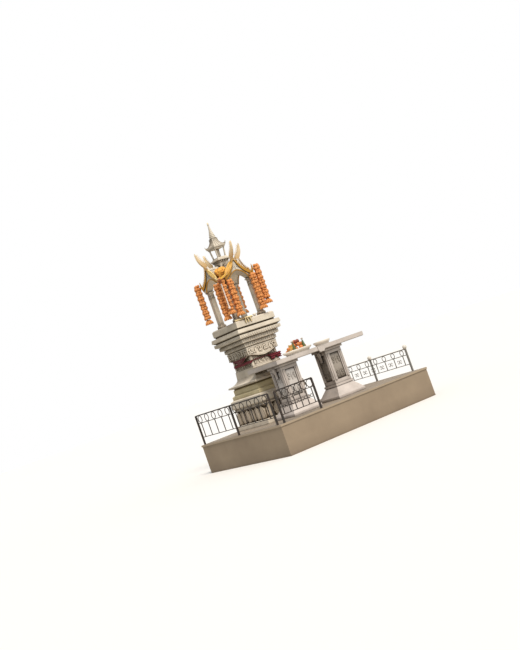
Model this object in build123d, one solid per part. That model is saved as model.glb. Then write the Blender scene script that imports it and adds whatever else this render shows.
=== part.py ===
from build123d import *
import math
import os

# A roadside spirit house. A moulded pedestal, square in plan, carries a small pavilion with four columns,
# four pointed gables and a spire. In front of it stands an altar table on two flared legs. Both stand on
# one masonry plinth with low iron railings at its edges. All sizes are in millimetres, Z is up, X runs to
# the right along the front of the plinth, and the origin is at the middle of the plinth's underside.

os.makedirs("parts", exist_ok=True)

# Plinth
PLINTH_LENGTH = 3550
PLINTH_DEPTH = 2750
PLINTH_HEIGHT = 550
COPING_HEIGHT = 35
COPING_STEP = 12

# Where the shrine's upright axis stands, from the plinth's left side and from its front
SHRINE_FROM_LEFT = 1250
SHRINE_FROM_FRONT = 1900

# Pedestal: half-widths of its tiers, and their heights from the bottom up
STEP_HALF, STEP_HEIGHT = 560, 100
PETAL_HALF, PETAL_TIER_HEIGHT = 520, 290
WHITE_HALF, WHITE_HEIGHT = 545, 200
CREAM_HALF, CREAM_HEIGHT = 475, 200
BELL_HALF, BELL_HEIGHT = 490, 290
BELL_WAIST = 22
NECK_HALF, NECK_HEIGHT = 310, 210
APRON_HALF, APRON_HEIGHT = 355, 160
APRON_DROP = 55
BAND_HALF, BANDS_HEIGHT = 480, 250
PLATFORM_HALF, PLATFORM_HEIGHT = 500, 130
SLAB_HALF, SLAB_HEIGHT = 445, 135
GROOVE = 22
PETALS_PER_SIDE = 6
PETAL_RELIEF = 26
PANEL_RECESS = 14

# Pavilion: four columns on the corners of a square, and the roof on them
COLUMN_SPACING = 570
COLUMN_WIDTH = 90
COLUMN_HEIGHT = 735
PAD_WIDTH = 128
PAD_HEIGHT = 50
CAPITAL_HEIGHT = 60
ARCH_RISE = 200
ROOF_RISE = 400
EAVE_HEIGHT = 60
RIDGE_HALF = 30
GABLE_THICKNESS = 45
GABLE_RISE = 450
RAKE_LIFT = 60
BARGE_THICKNESS = 18
BARGE_WIDTH = 62
FINIAL_RISE = 290
FINIAL_REACH = 130
FINIAL_WIDTH = 40
HORN_REACH = 50
HORN_RISE = 240
HORN_WIDTH = 44

# Top of the roof
DRUM_HALF, DRUM_RISE = 105, 60
LEDGE_HALF, LEDGE_HEIGHT = 143, 70
DENTIL = 16
DENTILS_PER_SIDE = 6
LANTERN_FOOT_HALF, LANTERN_HEAD_HALF, LANTERN_HEIGHT = 84, 100, 220
LANTERN_FOOT_STEP, LANTERN_FOOT_HEIGHT, LANTERN_PLATE = 35, 30, 20
STRUT = 22
CROWN_HALF, CROWN_HEIGHT = 140, 190
CROWN_NECK_HALF = 58
EAR_RISE = 75
SPIRE_HEIGHT = 330
SPIRE_RADIUS = 72
RING_COUNT, RING_HEIGHT = 5, 33

# Altar table
TABLE_LENGTH, TABLE_THICKNESS = 2095, 85
TABLE_TO_SHRINE = 8
TABLE_HEIGHT = 1037
TABLE_FROM_LEFT = 760
TABLE_FROM_FRONT = 580
LEG_WIDTH, LEG_DEPTH = 380, 340
LEG_FOOT_SPREAD, LEG_FOOT_HEIGHT, LEG_FLARE_HEIGHT = 135, 50, 180
NEAR_LEG_INSET = 125
LEG_SPACING = 1070
LEG_CAP_STEP, LEG_CAP_HEIGHT = 30, 45
LEG_COLLAR_STEP, LEG_COLLAR_HEIGHT = 20, 40
LEG_PANEL_MARGIN = 110
LEG_FROM_TABLE_FRONT = 130
BRACKET_REACH, BRACKET_HEIGHT, BRACKET_THICKNESS = 55, 190, 60
PENDANT_WIDTH, PENDANT_DROP, PENDANT_THICKNESS = 160, 32, 14
NEAR_TRAY_HALVES, NEAR_TRAY_FROM_LEFT = (320, 180), 780
FAR_TRAY_HALVES, FAR_TRAY_FROM_LEFT = (165, 165), 1375
TRAY_HEIGHT, TRAYS_FROM_TABLE_FRONT = 80, 357
OFFERING_HALVES, OFFERING_HEIGHT = (220, 130), 230
TRAY_CORNER_COUNT = 18

# Railings
RAIL_BAR = 22
THIN_BAR = 13
POST_WIDTH = 30
LOWEST_BAR = 140
NEAR_RAIL_HEIGHT = 570
FAR_RAIL_HEIGHT = 450
RAIL_EDGE = 60
FRONT_RAIL_START, FRONT_RAIL_LENGTH = 140, 830
LEFT_RAIL_START, LEFT_POST_SPACING = 160, 1265
RIGHT_RAIL_START, RIGHT_POST_SPACING = 325, 1080
BALL_RADIUS = 42
FRONT_BARS, LEFT_BARS, RIGHT_BARS = 6, 10, 8

# Soft pieces: flower garlands, a yellow sash on the front corner and a red cloth round the neck
GARLAND_RADIUS = 70
TASSEL_LENGTH = 95
TASSEL_SPREAD = 8
CORNER_GARLAND_LENGTH, CORNER_GARLAND_FROM_TIP = 690, 40
FACE_GARLAND_LENGTH = 610
HEAD_ROUNDING = 20
STRAND_CORNER_COUNT = 8
FACE_GARLAND_SPACING = 270
BUNCH_RADIUS, BUNCH_HEIGHT, BUNCH_SPACING = 120, 228, 260
SASH_WIDTH, SASH_THICKNESS, SASH_FROM_TIP, SASH_FROM_FOOT = 96, 16, 90, 20
KNOT_RADIUS = 42
CLOTH_THICKNESS, CLOTH_HEIGHT = 8, 50
BOW_WIDTH, BOW_THICKNESS, BOW_DROP = 270, 40, 115
SWAG_WIDTH, SWAG_THICKNESS, SWAG_DROP = 560, 20, 105
SEAT_GAP = 0.3
JOINT_GAP = 1

# Derived places
shrine_x = SHRINE_FROM_LEFT - PLINTH_LENGTH / 2
shrine_y = SHRINE_FROM_FRONT - PLINTH_DEPTH / 2
column_offset = COLUMN_SPACING / 2
arch_half = column_offset - COLUMN_WIDTH / 2
eave_half = column_offset + PAD_WIDTH / 2 - 10
SIDES = {"south": 0, "east": 90, "north": 180, "west": 270}
CORNERS = {"front": 0, "right": 90, "back": 180, "left": 270}


def save(name, shape):
    """Write one node's solids to its own file."""
    export_step(shape, f"parts/{name}.step")


def at_shrine(shape, height):
    """Place a shape that was made about the upright axis at a height above the plinth's top."""
    return Pos(shrine_x, shrine_y, PLINTH_HEIGHT + height) * shape


def chain(start, *steps):
    """Edges in the XZ plane: a step is an end point, or an arc given as (middle point, end point)."""
    edges, here = [], start
    for step in steps:
        arc = isinstance(step[0], tuple)
        end = step[1] if arc else step
        ends = (here[0], 0, here[1]), (end[0], 0, end[1])
        if arc:
            edges.append(ThreePointArc(ends[0], (step[0][0], 0, step[0][1]), ends[1]))
        else:
            edges.append(Line(*ends))
        here = end
    return edges, here


def symmetric_face(start, *steps):
    """The face between an outline on the right of the axis and its mirror image on the left."""
    right, end = chain(start, *steps)
    left = [mirror(edge, about=Plane.YZ) for edge in right]
    closing = [Line((-start[0], 0, start[1]), (start[0], 0, start[1]))]
    if end[0] > 0:
        closing.append(Line((-end[0], 0, end[1]), (end[0], 0, end[1])))
    return make_face(right + left + closing)


def square_moulding(start, *steps):
    """A solid that is square in plan, whose half-width follows the outline: two crossed mouldings."""
    reach = max(start[0], *[(s[1] if isinstance(s[0], tuple) else s)[0] for s in steps]) + 10
    along = extrude(symmetric_face(start, *steps), amount=reach, both=True)
    return along & along.rotate(Axis.Z, 90)


def plate(face, thickness):
    """A board of the given thickness, from Y = 0 backwards, cut to a face in the XZ plane."""
    board = extrude(face, amount=thickness, both=True)
    box = board.bounding_box()
    width, height = box.size.X + 2, box.size.Z + 2
    keep = Pos(0, thickness / 2, box.center().Z) * Box(width, thickness, height)
    return board & keep


def four_sides(shape):
    """The shape and its copies on the other three sides."""
    return [shape.rotate(Axis.Z, turn) for turn in SIDES.values()]


def stacked(outlines):
    """A closed solid with flat sides between outlines of equally many corners, bottom first."""
    faces = [make_face(Polyline(*outline, close=True)) for outline in (outlines[0], outlines[-1])]
    for low, high in zip(outlines, outlines[1:]):
        for k in range(len(low)):
            after = (k + 1) % len(low)
            faces.append(make_face(Polyline(low[k], low[after], high[after], high[k], close=True)))
    return Solid(Shell(faces))


def oval(halves, share, height, corners):
    """The corners of an oval outline: a share of the two half-sizes, at a height."""
    turns = [2 * math.pi * k / corners for k in range(corners)]
    return [(halves[0] * share * math.cos(t), halves[1] * share * math.sin(t), height) for t in turns]


def faceted(levels, corners):
    """A turned form with flat facets about the Z axis, from its (radius, height) levels, bottom first."""
    return stacked([oval((radius, radius), 1, height, corners) for radius, height in levels])


def height_on_arc(points, x):
    """The height at x on the hollow side of the circle through three (x, height) points."""
    (ax, ay), (bx, by), (cx, cy) = points
    twice_area = 2 * (ax * (by - cy) + bx * (cy - ay) + cx * (ay - by))
    squares = [px * px + py * py for px, py in points]
    middle_x = (squares[0] * (by - cy) + squares[1] * (cy - ay) + squares[2] * (ay - by)) / twice_area
    middle_y = (squares[0] * (cx - bx) + squares[1] * (ax - cx) + squares[2] * (bx - ax)) / twice_area
    return middle_y - math.sqrt((ax - middle_x) ** 2 + (ay - middle_y) ** 2 - (x - middle_x) ** 2)


def rectangle(width, depth, height):
    """The corners of a rectangular outline about the Z axis, at a height."""
    x, y = width / 2, depth / 2
    return [(-x, -y, height), (x, -y, height), (x, y, height), (-x, y, height)]


# Plinth: a masonry block with a slightly projecting screed at its top edge
plinth_body = Pos(0, 0, (PLINTH_HEIGHT - COPING_HEIGHT) / 2) * Box(
    PLINTH_LENGTH - 2 * COPING_STEP, PLINTH_DEPTH - 2 * COPING_STEP, PLINTH_HEIGHT - COPING_HEIGHT)
coping = Pos(0, 0, PLINTH_HEIGHT - COPING_HEIGHT / 2) * Box(PLINTH_LENGTH, PLINTH_DEPTH, COPING_HEIGHT)
save("plinth", plinth_body + coping)

# Pedestal, tier by tier; level is the height above the plinth's top where the next tier starts
level = 0
save("base_step", at_shrine(square_moulding(
    (STEP_HALF, 0), (STEP_HALF, STEP_HEIGHT - GROOVE), (STEP_HALF - GROOVE, STEP_HEIGHT)), level))
level += STEP_HEIGHT

# The petal tier carries a row of pointed petals in relief on each side
petal_core_half = PETAL_HALF - PETAL_RELIEF
petal_core = square_moulding(
    (petal_core_half, 0), (petal_core_half - GROOVE, GROOVE),
    (petal_core_half - 2 * GROOVE, PETAL_TIER_HEIGHT / 3),
    (petal_core_half - GROOVE, PETAL_TIER_HEIGHT - 2 * GROOVE),
    (PETAL_HALF, PETAL_TIER_HEIGHT - GROOVE), (PETAL_HALF, PETAL_TIER_HEIGHT))
petal_pitch = 2 * petal_core_half / PETALS_PER_SIDE
petal_half = petal_pitch * 0.46
petal_top = PETAL_TIER_HEIGHT - GROOVE
petal_face = symmetric_face(
    (petal_half * 0.55, 0), (petal_half, petal_top * 0.34), (petal_half * 0.86, petal_top * 0.64),
    (0, petal_top))
petal = Pos(0, -petal_core_half - PETAL_RELIEF, 0) * plate(petal_face, PETAL_RELIEF + 3 * GROOVE)
petal_row = [Pos(petal_pitch * (i - (PETALS_PER_SIDE - 1) / 2), 0, 0) * petal for i in range(PETALS_PER_SIDE)]
petals = [p.rotate(Axis.Z, turn) for turn in SIDES.values() for p in petal_row]
petal_tier = petal_core
for one in petals:
    petal_tier = petal_tier + one
save("petal_tier", at_shrine(petal_tier, level))
level += PETAL_TIER_HEIGHT

save("white_tier", at_shrine(square_moulding(
    (WHITE_HALF - 2 * GROOVE, 0), (WHITE_HALF - 2 * GROOVE, GROOVE),
    ((WHITE_HALF, WHITE_HEIGHT * 0.42), (WHITE_HALF - GROOVE, WHITE_HEIGHT * 0.75)),
    (WHITE_HALF - GROOVE, WHITE_HEIGHT - GROOVE), (CREAM_HALF, WHITE_HEIGHT)), level))
level += WHITE_HEIGHT

cream_waist = CREAM_HALF - 2 * GROOVE
save("cream_tier", at_shrine(square_moulding(
    (CREAM_HALF, 0), (CREAM_HALF, CREAM_HEIGHT * 0.3), (cream_waist, CREAM_HEIGHT * 0.42),
    (cream_waist, CREAM_HEIGHT * 0.86), (cream_waist - GROOVE, CREAM_HEIGHT)), level))
level += CREAM_HEIGHT

# The bell foot starts as a sharp ledge and sweeps inwards to a waist that rises almost upright to the neck
save("bell_foot", at_shrine(square_moulding(
    (cream_waist - GROOVE, 0), (BELL_HALF, GROOVE), (BELL_HALF, 2 * GROOVE),
    (BELL_HALF - GROOVE, 2.5 * GROOVE),
    ((NECK_HALF + 3 * BELL_WAIST, BELL_HEIGHT * 0.3), (NECK_HALF + BELL_WAIST, BELL_HEIGHT * 0.48)),
    (NECK_HALF + BELL_WAIST / 2, BELL_HEIGHT))
    , level))
level += BELL_HEIGHT

# The neck has one recessed panel on each side
neck = square_moulding((NECK_HALF, 0), (NECK_HALF, NECK_HEIGHT))
panel_width = 2 * NECK_HALF - 4 * GROOVE
panel_height = NECK_HEIGHT - 2 * GROOVE
recess = Pos(0, -NECK_HALF, NECK_HEIGHT / 2) * Box(panel_width, 2 * PANEL_RECESS, panel_height)
for one in four_sides(recess):
    neck = neck - one
save("neck", at_shrine(neck, level))
neck_level = level
level += NECK_HEIGHT

# The collar above it flares out, and its apron hangs lowest in the middle of each side
collar = square_moulding(
    (NECK_HALF + GROOVE, 0), (NECK_HALF + 24, APRON_HEIGHT * 0.6), (APRON_HALF, APRON_HEIGHT - GROOVE),
    (APRON_HALF, APRON_HEIGHT))
apron_half = APRON_HALF - 4
apron_face = make_face(Polyline(
    (-apron_half, 0, APRON_HEIGHT), (-apron_half, 0, 12), (-apron_half * 0.8, 0, 12),
    (-apron_half * 0.4, 0, -APRON_DROP * 0.6), (0, 0, -APRON_DROP), (apron_half * 0.4, 0, -APRON_DROP * 0.6),
    (apron_half * 0.8, 0, 12), (apron_half, 0, 12), (apron_half, 0, APRON_HEIGHT), close=True))
apron = Pos(0, -apron_half, 0) * plate(apron_face, apron_half - NECK_HALF - JOINT_GAP)
for one in four_sides(apron):
    collar = collar + one
save("apron_collar", at_shrine(collar, level))
level += APRON_HEIGHT

# Three stepped bands that grow outwards, parted by grooves
band_height = BANDS_HEIGHT / 3
band_steps, band_top = [], 0
for k in range(3):
    half = APRON_HALF + (BAND_HALF - APRON_HALF) * (0.15 + 0.85 * k / 2)
    band_steps += [(half, band_top + GROOVE), (half, band_top + band_height)]
    band_top += band_height
    band_steps += [(half - 1.5 * GROOVE, band_top)]
save("moulded_bands", at_shrine(square_moulding((APRON_HALF - GROOVE, 0), *band_steps), level))
level += BANDS_HEIGHT

save("platform_edge", at_shrine(square_moulding(
    (BAND_HALF - 2 * GROOVE, 0), (PLATFORM_HALF, PLATFORM_HEIGHT * 0.3),
    (PLATFORM_HALF - 10, PLATFORM_HEIGHT * 0.8), (SLAB_HALF - GROOVE, PLATFORM_HEIGHT * 0.86),
    (SLAB_HALF - GROOVE, PLATFORM_HEIGHT)), level))
level += PLATFORM_HEIGHT

save("upper_slab", at_shrine(square_moulding(
    (SLAB_HALF - GROOVE, 0), (SLAB_HALF, GROOVE / 2), (SLAB_HALF, SLAB_HEIGHT - GROOVE),
    (SLAB_HALF - GROOVE, SLAB_HEIGHT)), level))
level += SLAB_HEIGHT

# Columns: square shafts with a pad and a flared capital
column_level = level
shaft_half, pad_half = COLUMN_WIDTH / 2, PAD_WIDTH / 2
column = square_moulding(
    (pad_half, 0), (pad_half, PAD_HEIGHT), (shaft_half, PAD_HEIGHT + 15),
    (shaft_half, COLUMN_HEIGHT - CAPITAL_HEIGHT),
    ((shaft_half + 4, COLUMN_HEIGHT - CAPITAL_HEIGHT / 2), (pad_half, COLUMN_HEIGHT - 15)),
    (pad_half, COLUMN_HEIGHT))
for corner, turn in CORNERS.items():
    one = (Pos(-column_offset, -column_offset, 0) * column).rotate(Axis.Z, turn)
    save(f"column_{corner}", at_shrine(one, column_level))
level += COLUMN_HEIGHT

# Roof: two crossed gabled prisms with hollow sides, vaulted underneath by two crossed pointed arches
roof_level = level
roof_slope = ((eave_half, EAVE_HEIGHT), (eave_half * 0.45, ROOF_RISE * 0.48), (RIDGE_HALF, ROOF_RISE))
roof_face = symmetric_face((eave_half, 0), roof_slope[0], roof_slope[1:])
arch_start = -20
arch_face = symmetric_face(
    (arch_half, arch_start), (arch_half, 0), ((arch_half * 0.66, ARCH_RISE * 0.62), (0, ARCH_RISE)))
roof_along = extrude(roof_face, amount=eave_half, both=True)
vault_along = extrude(arch_face, amount=eave_half + GABLE_THICKNESS * 2, both=True)
roof = (roof_along + roof_along.rotate(Axis.Z, 90)) - vault_along - vault_along.rotate(Axis.Z, 90)
drum = Pos(0, 0, ROOF_RISE - DRUM_RISE) * Box(
    2 * DRUM_HALF, 2 * DRUM_HALF, 2 * DRUM_RISE, align=(Align.CENTER, Align.CENTER, Align.MIN))
roof = roof + drum
save("roof_vault", at_shrine(roof, roof_level))

# Gables: pointed boards on the four faces, with the same arch through them and a lifted rake
gable_foot = eave_half - HORN_WIDTH * math.sqrt(0.5) - JOINT_GAP
gable_face = symmetric_face(
    (gable_foot, 0), (gable_foot, EAVE_HEIGHT + RAKE_LIFT),
    ((gable_foot * 0.42, ROOF_RISE * 0.48 + RAKE_LIFT), (RIDGE_HALF * 0.6, GABLE_RISE)))
board_front = eave_half + GABLE_THICKNESS
gable = Pos(0, -board_front, 0) * plate(gable_face, GABLE_THICKNESS)
gable = gable - vault_along
for side, turn in SIDES.items():
    save(f"gable_{side}", at_shrine(gable.rotate(Axis.Z, turn), roof_level))

# Bargeboards: a strip that follows each rake in front of the board, with the tall horn at its tip that
# sits astride the board and leans outwards as it rises
barge_face = gable_face - Pos(0, 0, -BARGE_WIDTH) * gable_face
barge_front = board_front + BARGE_THICKNESS
barge = Pos(0, -barge_front, 0) * plate(barge_face, BARGE_THICKNESS)
finial_edges, _ = chain(
    (0, -BARGE_WIDTH * 0.8), (BARGE_THICKNESS, -BARGE_WIDTH * 0.8), (BARGE_THICKNESS + 10, 0),
    ((FINIAL_REACH * 0.78, FINIAL_RISE * 0.36), (FINIAL_REACH, FINIAL_RISE)),
    ((FINIAL_REACH * 0.3, FINIAL_RISE * 0.42), (-GABLE_THICKNESS, FINIAL_RISE * 0.2)),
    (-GABLE_THICKNESS, 0), (0, 0), (0, -BARGE_WIDTH * 0.8))
finial = extrude(make_face(finial_edges), amount=FINIAL_WIDTH / 2, both=True).rotate(Axis.Z, -90)
barge = barge + Pos(0, -board_front, GABLE_RISE) * finial
for side, turn in SIDES.items():
    save(f"bargeboard_{side}", at_shrine(barge.rotate(Axis.Z, turn), roof_level))

# Corner horns: curls that stand out diagonally, notched over the eave corners
horn_edges, _ = chain(
    (0, 0), ((HORN_REACH * 0.85, HORN_RISE * 0.3), (HORN_REACH, HORN_RISE)),
    ((HORN_REACH * 0.35, HORN_RISE * 0.45), (0, EAVE_HEIGHT)), (-HORN_WIDTH / 2, EAVE_HEIGHT),
    (-HORN_WIDTH / 2, 0), (0, 0))
horn_profile = make_face(horn_edges)
horn_out = horn_profile.bounding_box().max.X
horn = extrude(horn_profile, amount=HORN_WIDTH / 2, both=True).rotate(Axis.Z, 225)
eave_block = Box(2 * eave_half, 2 * eave_half, 2 * HORN_RISE)
horn = Pos(-eave_half, -eave_half, 0) * horn - eave_block
for corner, turn in CORNERS.items():
    save(f"corner_horn_{corner}", at_shrine(horn.rotate(Axis.Z, turn), roof_level))

# Ledge with a row of dentils under it, on the drum where the ridges meet
ledge_level = roof_level + ROOF_RISE + DRUM_RISE
ledge = square_moulding(
    (DRUM_HALF, 0), (DRUM_HALF + 6, LEDGE_HEIGHT * 0.4), (LEDGE_HALF, LEDGE_HEIGHT * 0.55),
    (LEDGE_HALF, LEDGE_HEIGHT * 0.85), (LEDGE_HALF - 20, LEDGE_HEIGHT))
dentil_pitch = 2 * (DRUM_HALF + DENTIL) / DENTILS_PER_SIDE
for k in range(DENTILS_PER_SIDE):
    spot = dentil_pitch * (k - (DENTILS_PER_SIDE - 1) / 2)
    dentil = Pos(spot, -DRUM_HALF - 8, LEDGE_HEIGHT * 0.3) * Box(DENTIL, 2 * DENTIL, LEDGE_HEIGHT * 0.42)
    for one in four_sides(dentil):
        ledge = ledge + one
save("roof_ledge", at_shrine(ledge, ledge_level))

# Lantern: a low foot and four struts that lean outwards to the eaves of the crown
lantern_level = ledge_level + LEDGE_HEIGHT
foot = square_moulding(
    (LANTERN_FOOT_HALF + LANTERN_FOOT_STEP, 0),
    (LANTERN_FOOT_HALF + LANTERN_FOOT_STEP * 4 / 7, LANTERN_FOOT_HEIGHT * 0.6),
    (LANTERN_FOOT_HALF + LANTERN_FOOT_STEP * 0.4, LANTERN_FOOT_HEIGHT))
head = Pos(0, 0, LANTERN_HEIGHT - LANTERN_PLATE) * square_moulding(
    (LANTERN_HEAD_HALF + STRUT, 0), (LANTERN_HEAD_HALF + STRUT, LANTERN_PLATE))
lean = LANTERN_HEAD_HALF - LANTERN_FOOT_HALF
strut_foot = rectangle(STRUT, STRUT, LANTERN_PLATE)
strut_head = [(x - lean, y - lean, LANTERN_HEIGHT - LANTERN_PLATE / 2) for x, y, _ in strut_foot]
strut = Pos(-LANTERN_FOOT_HALF, -LANTERN_FOOT_HALF, 0) * stacked([strut_foot, strut_head])
core = faceted([(STRUT, LANTERN_PLATE), (STRUT, LANTERN_HEIGHT - LANTERN_PLATE / 2)], 8)
lantern = foot + head + core
for one in four_sides(strut):
    lantern = lantern + one
save("lantern", at_shrine(lantern, lantern_level))

# Crown roof: small, bell-sided, with a turned-up ear at each corner
crown_level = lantern_level + LANTERN_HEIGHT
crown = square_moulding(
    (CROWN_HALF - 15, 0), (CROWN_HALF, 15), (CROWN_HALF, 32),
    ((CROWN_NECK_HALF + 22, CROWN_HEIGHT * 0.45), (CROWN_NECK_HALF, CROWN_HEIGHT)))
ear_edges, _ = chain(
    (0, 0), (20, EAR_RISE * 0.3), (30, EAR_RISE), (9, EAR_RISE * 0.6), (-40, 30), (-40, 0), (0, 0))
ear = extrude(make_face(ear_edges), amount=9, both=True).rotate(Axis.Z, 225)
ear = Pos(-CROWN_HALF + 8, -CROWN_HALF + 8, 16) * ear
for one in four_sides(ear):
    crown = crown + one
save("crown_roof", at_shrine(crown, crown_level))

# Spire: faceted rings that shrink towards the point
spire_level = crown_level + CROWN_HEIGHT
spire_levels = [(SPIRE_RADIUS * 0.8, 0)]
for k in range(RING_COUNT):
    ring_radius, ring_bottom = SPIRE_RADIUS * (1 - 0.13 * k), RING_HEIGHT * k
    spire_levels += [(ring_radius, ring_bottom + RING_HEIGHT * 0.4),
                     (ring_radius * 0.78, ring_bottom + RING_HEIGHT)]
spire_levels += [(SPIRE_RADIUS * 0.2, SPIRE_HEIGHT * 0.8), (SPIRE_RADIUS * 0.28, SPIRE_HEIGHT * 0.84),
                 (SPIRE_RADIUS * 0.04, SPIRE_HEIGHT)]
save("spire", at_shrine(faceted(spire_levels, 12), spire_level))

# Altar table: a thick slab on two legs, each with recessed panels, a collar and a flared foot
top_of_plinth = PLINTH_HEIGHT
table_left = TABLE_FROM_LEFT - PLINTH_LENGTH / 2
table_front = TABLE_FROM_FRONT - PLINTH_DEPTH / 2
# The slab runs back to the shrine's waist, or to the bow of the red cloth where it's as high as that
cloth_level = neck_level + NECK_HEIGHT * 0.48
bow_bottom = cloth_level + CLOTH_HEIGHT / 2 - BOW_DROP
bow_reach = NECK_HALF + SEAT_GAP + CLOTH_THICKNESS + BOW_THICKNESS
shrine_reach = bow_reach if TABLE_HEIGHT > bow_bottom else NECK_HALF + BELL_WAIST
table_depth = SHRINE_FROM_FRONT - shrine_reach - TABLE_TO_SHRINE - TABLE_FROM_FRONT
slab = Box(TABLE_LENGTH, table_depth, TABLE_THICKNESS)
slab = chamfer(slab.edges().filter_by(Axis.Z, reverse=True).group_by(Axis.Z)[0], 12)
pendant_face = symmetric_face(
    (PENDANT_WIDTH / 2, TABLE_THICKNESS / 3), (PENDANT_WIDTH / 2, -TABLE_THICKNESS / 3),
    (PENDANT_WIDTH / 4, -TABLE_THICKNESS / 2 - PENDANT_DROP), (0, -TABLE_THICKNESS / 2 - PENDANT_DROP * 0.75))
slab += Pos(0, -table_depth / 2 - PENDANT_THICKNESS / 2, 0) * plate(pendant_face, 2 * PENDANT_THICKNESS)
slab_middle = (table_left + TABLE_LENGTH / 2, table_front + table_depth / 2)
save("table_slab", Pos(*slab_middle, top_of_plinth + TABLE_HEIGHT - TABLE_THICKNESS / 2) * slab)

leg_height = TABLE_HEIGHT - TABLE_THICKNESS
shaft_bottom = LEG_FOOT_HEIGHT + LEG_FLARE_HEIGHT


def block(width, depth, bottom, top):
    """A plain block centred on the axis between two heights."""
    return Pos(0, 0, (bottom + top) / 2) * Box(width, depth, top - bottom)


leg = block(LEG_WIDTH, LEG_DEPTH, shaft_bottom, leg_height)
leg += block(LEG_WIDTH + 2 * LEG_CAP_STEP, LEG_DEPTH + 2 * LEG_CAP_STEP,
             leg_height - LEG_CAP_HEIGHT, leg_height)
leg += block(LEG_WIDTH + 2 * LEG_COLLAR_STEP, LEG_DEPTH + 2 * LEG_COLLAR_STEP,
             shaft_bottom, shaft_bottom + LEG_COLLAR_HEIGHT)
foot_width, foot_depth = LEG_WIDTH + 2 * LEG_FOOT_SPREAD, LEG_DEPTH + 2 * LEG_FOOT_SPREAD
leg += block(foot_width, foot_depth, 0, LEG_FOOT_HEIGHT)
leg += stacked([rectangle(foot_width, foot_depth, LEG_FOOT_HEIGHT),
                rectangle(LEG_WIDTH + 10, LEG_DEPTH + 10, shaft_bottom)])
bracket_top, shaft_side = leg_height - LEG_CAP_HEIGHT, LEG_WIDTH / 2 - 5
bracket_face = make_face(Polyline(
    (shaft_side, 0, bracket_top), (shaft_side + BRACKET_REACH, 0, bracket_top),
    (shaft_side + BRACKET_REACH * 0.9, 0, bracket_top - BRACKET_HEIGHT * 0.35),
    (shaft_side + BRACKET_REACH * 0.4, 0, bracket_top - BRACKET_HEIGHT * 0.75),
    (shaft_side + BRACKET_REACH * 0.5, 0, bracket_top - BRACKET_HEIGHT),
    (shaft_side, 0, bracket_top - BRACKET_HEIGHT), close=True))
bracket = extrude(bracket_face, amount=BRACKET_THICKNESS / 2, both=True)
leg += bracket + bracket.rotate(Axis.Z, 180)
panel_bottom, panel_top = shaft_bottom + LEG_PANEL_MARGIN, leg_height - LEG_PANEL_MARGIN
panel_middle = (panel_bottom + panel_top) / 2
for width, depth, turn in ((LEG_WIDTH, LEG_DEPTH, 0), (LEG_DEPTH, LEG_WIDTH, 90)):
    for sign in (-1, 1):
        cut = Pos(0, sign * depth / 2, panel_middle) * Box(
            width * 0.56, 2 * PANEL_RECESS, panel_top - panel_bottom)
        leg -= cut.rotate(Axis.Z, turn)
leg_y = table_front + LEG_FROM_TABLE_FRONT + LEG_DEPTH / 2
near_leg_x = table_left + NEAR_LEG_INSET + LEG_WIDTH / 2
save("near_leg", Pos(near_leg_x, leg_y, top_of_plinth) * leg)
save("far_leg", Pos(near_leg_x + LEG_SPACING, leg_y, top_of_plinth) * leg)


def footed_tray(halves):
    """An oval tray on a broad foot, hollow from above, standing on Z = 0."""
    outside = stacked([oval(halves, share, TRAY_HEIGHT * rise, TRAY_CORNER_COUNT)
                       for share, rise in ((0.8, 0), (0.82, 0.3), (1, 0.7), (1, 1))])
    hollow = stacked([oval(halves, share, TRAY_HEIGHT * rise, TRAY_CORNER_COUNT)
                      for share, rise in ((0.8, 0.62), (0.95, 1.1))])
    return outside - hollow


# Two footed trays on the table, the near one heaped with offerings
table_top = top_of_plinth + TABLE_HEIGHT
tray_y = table_front + TRAYS_FROM_TABLE_FRONT
near_tray_x = table_left + NEAR_TRAY_FROM_LEFT
save("tray_near", Pos(near_tray_x, tray_y, table_top) * footed_tray(NEAR_TRAY_HALVES))
save("tray_far", Pos(table_left + FAR_TRAY_FROM_LEFT, tray_y, table_top) * footed_tray(FAR_TRAY_HALVES))
heap = stacked([oval(OFFERING_HALVES, share, OFFERING_HEIGHT * rise, TRAY_CORNER_COUNT)
                for share, rise in ((1, 0), (1, 0.4), (0.75, 0.75), (0.4, 1))])
save("offering_heap", Pos(near_tray_x, tray_y, table_top + TRAY_HEIGHT * 0.62) * heap)


# Railings: posts, rails and bars of square iron, with a row of eight-sided rings under the top rail
def railing(length, height, posts, bars, balls=False):
    """A railing along +X from X = 0, standing on Z = 0, fused where its bars cross."""
    top, bottom, middle = height - RAIL_BAR / 2, LOWEST_BAR, height * 0.72
    iron = Pos(length / 2, 0, top) * Box(length, RAIL_BAR, RAIL_BAR)
    iron += Pos(length / 2, 0, middle) * Box(length, THIN_BAR, THIN_BAR)
    iron += Pos(length / 2, 0, bottom) * Box(length, THIN_BAR, THIN_BAR)
    post_height = height if balls else height - RAIL_BAR / 2
    ball = faceted([(BALL_RADIUS * share, BALL_RADIUS * rise) for share, rise in (
        (0.5, 0), (0.95, 0.6), (1, 1), (0.85, 1.55), (0.3, 1.95))], 10)
    for spot in posts:
        iron += Pos(spot, 0, post_height / 2) * Box(POST_WIDTH, POST_WIDTH, post_height)
        if balls:
            iron += Pos(spot, 0, height - GROOVE / 2) * ball
    pitch = length / bars
    ring_half = (top - middle - RAIL_BAR / 2 - THIN_BAR / 2) / 2 + 3
    ring_face = RegularPolygon(ring_half, 8, major_radius=False, rotation=22.5)
    ring_face -= RegularPolygon(ring_half - THIN_BAR * 0.7, 8, major_radius=False, rotation=22.5)
    ring = extrude(ring_face, amount=THIN_BAR * 0.4, both=True).rotate(Axis.X, 90)
    for k in range(bars):
        spot = (k + 0.5) * pitch
        iron += Pos(spot, 0, (middle + bottom) / 2) * Box(THIN_BAR, THIN_BAR, middle - bottom)
        iron += Pos(spot, 0, middle + THIN_BAR / 2 + ring_half - 3) * ring
    return iron


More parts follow.
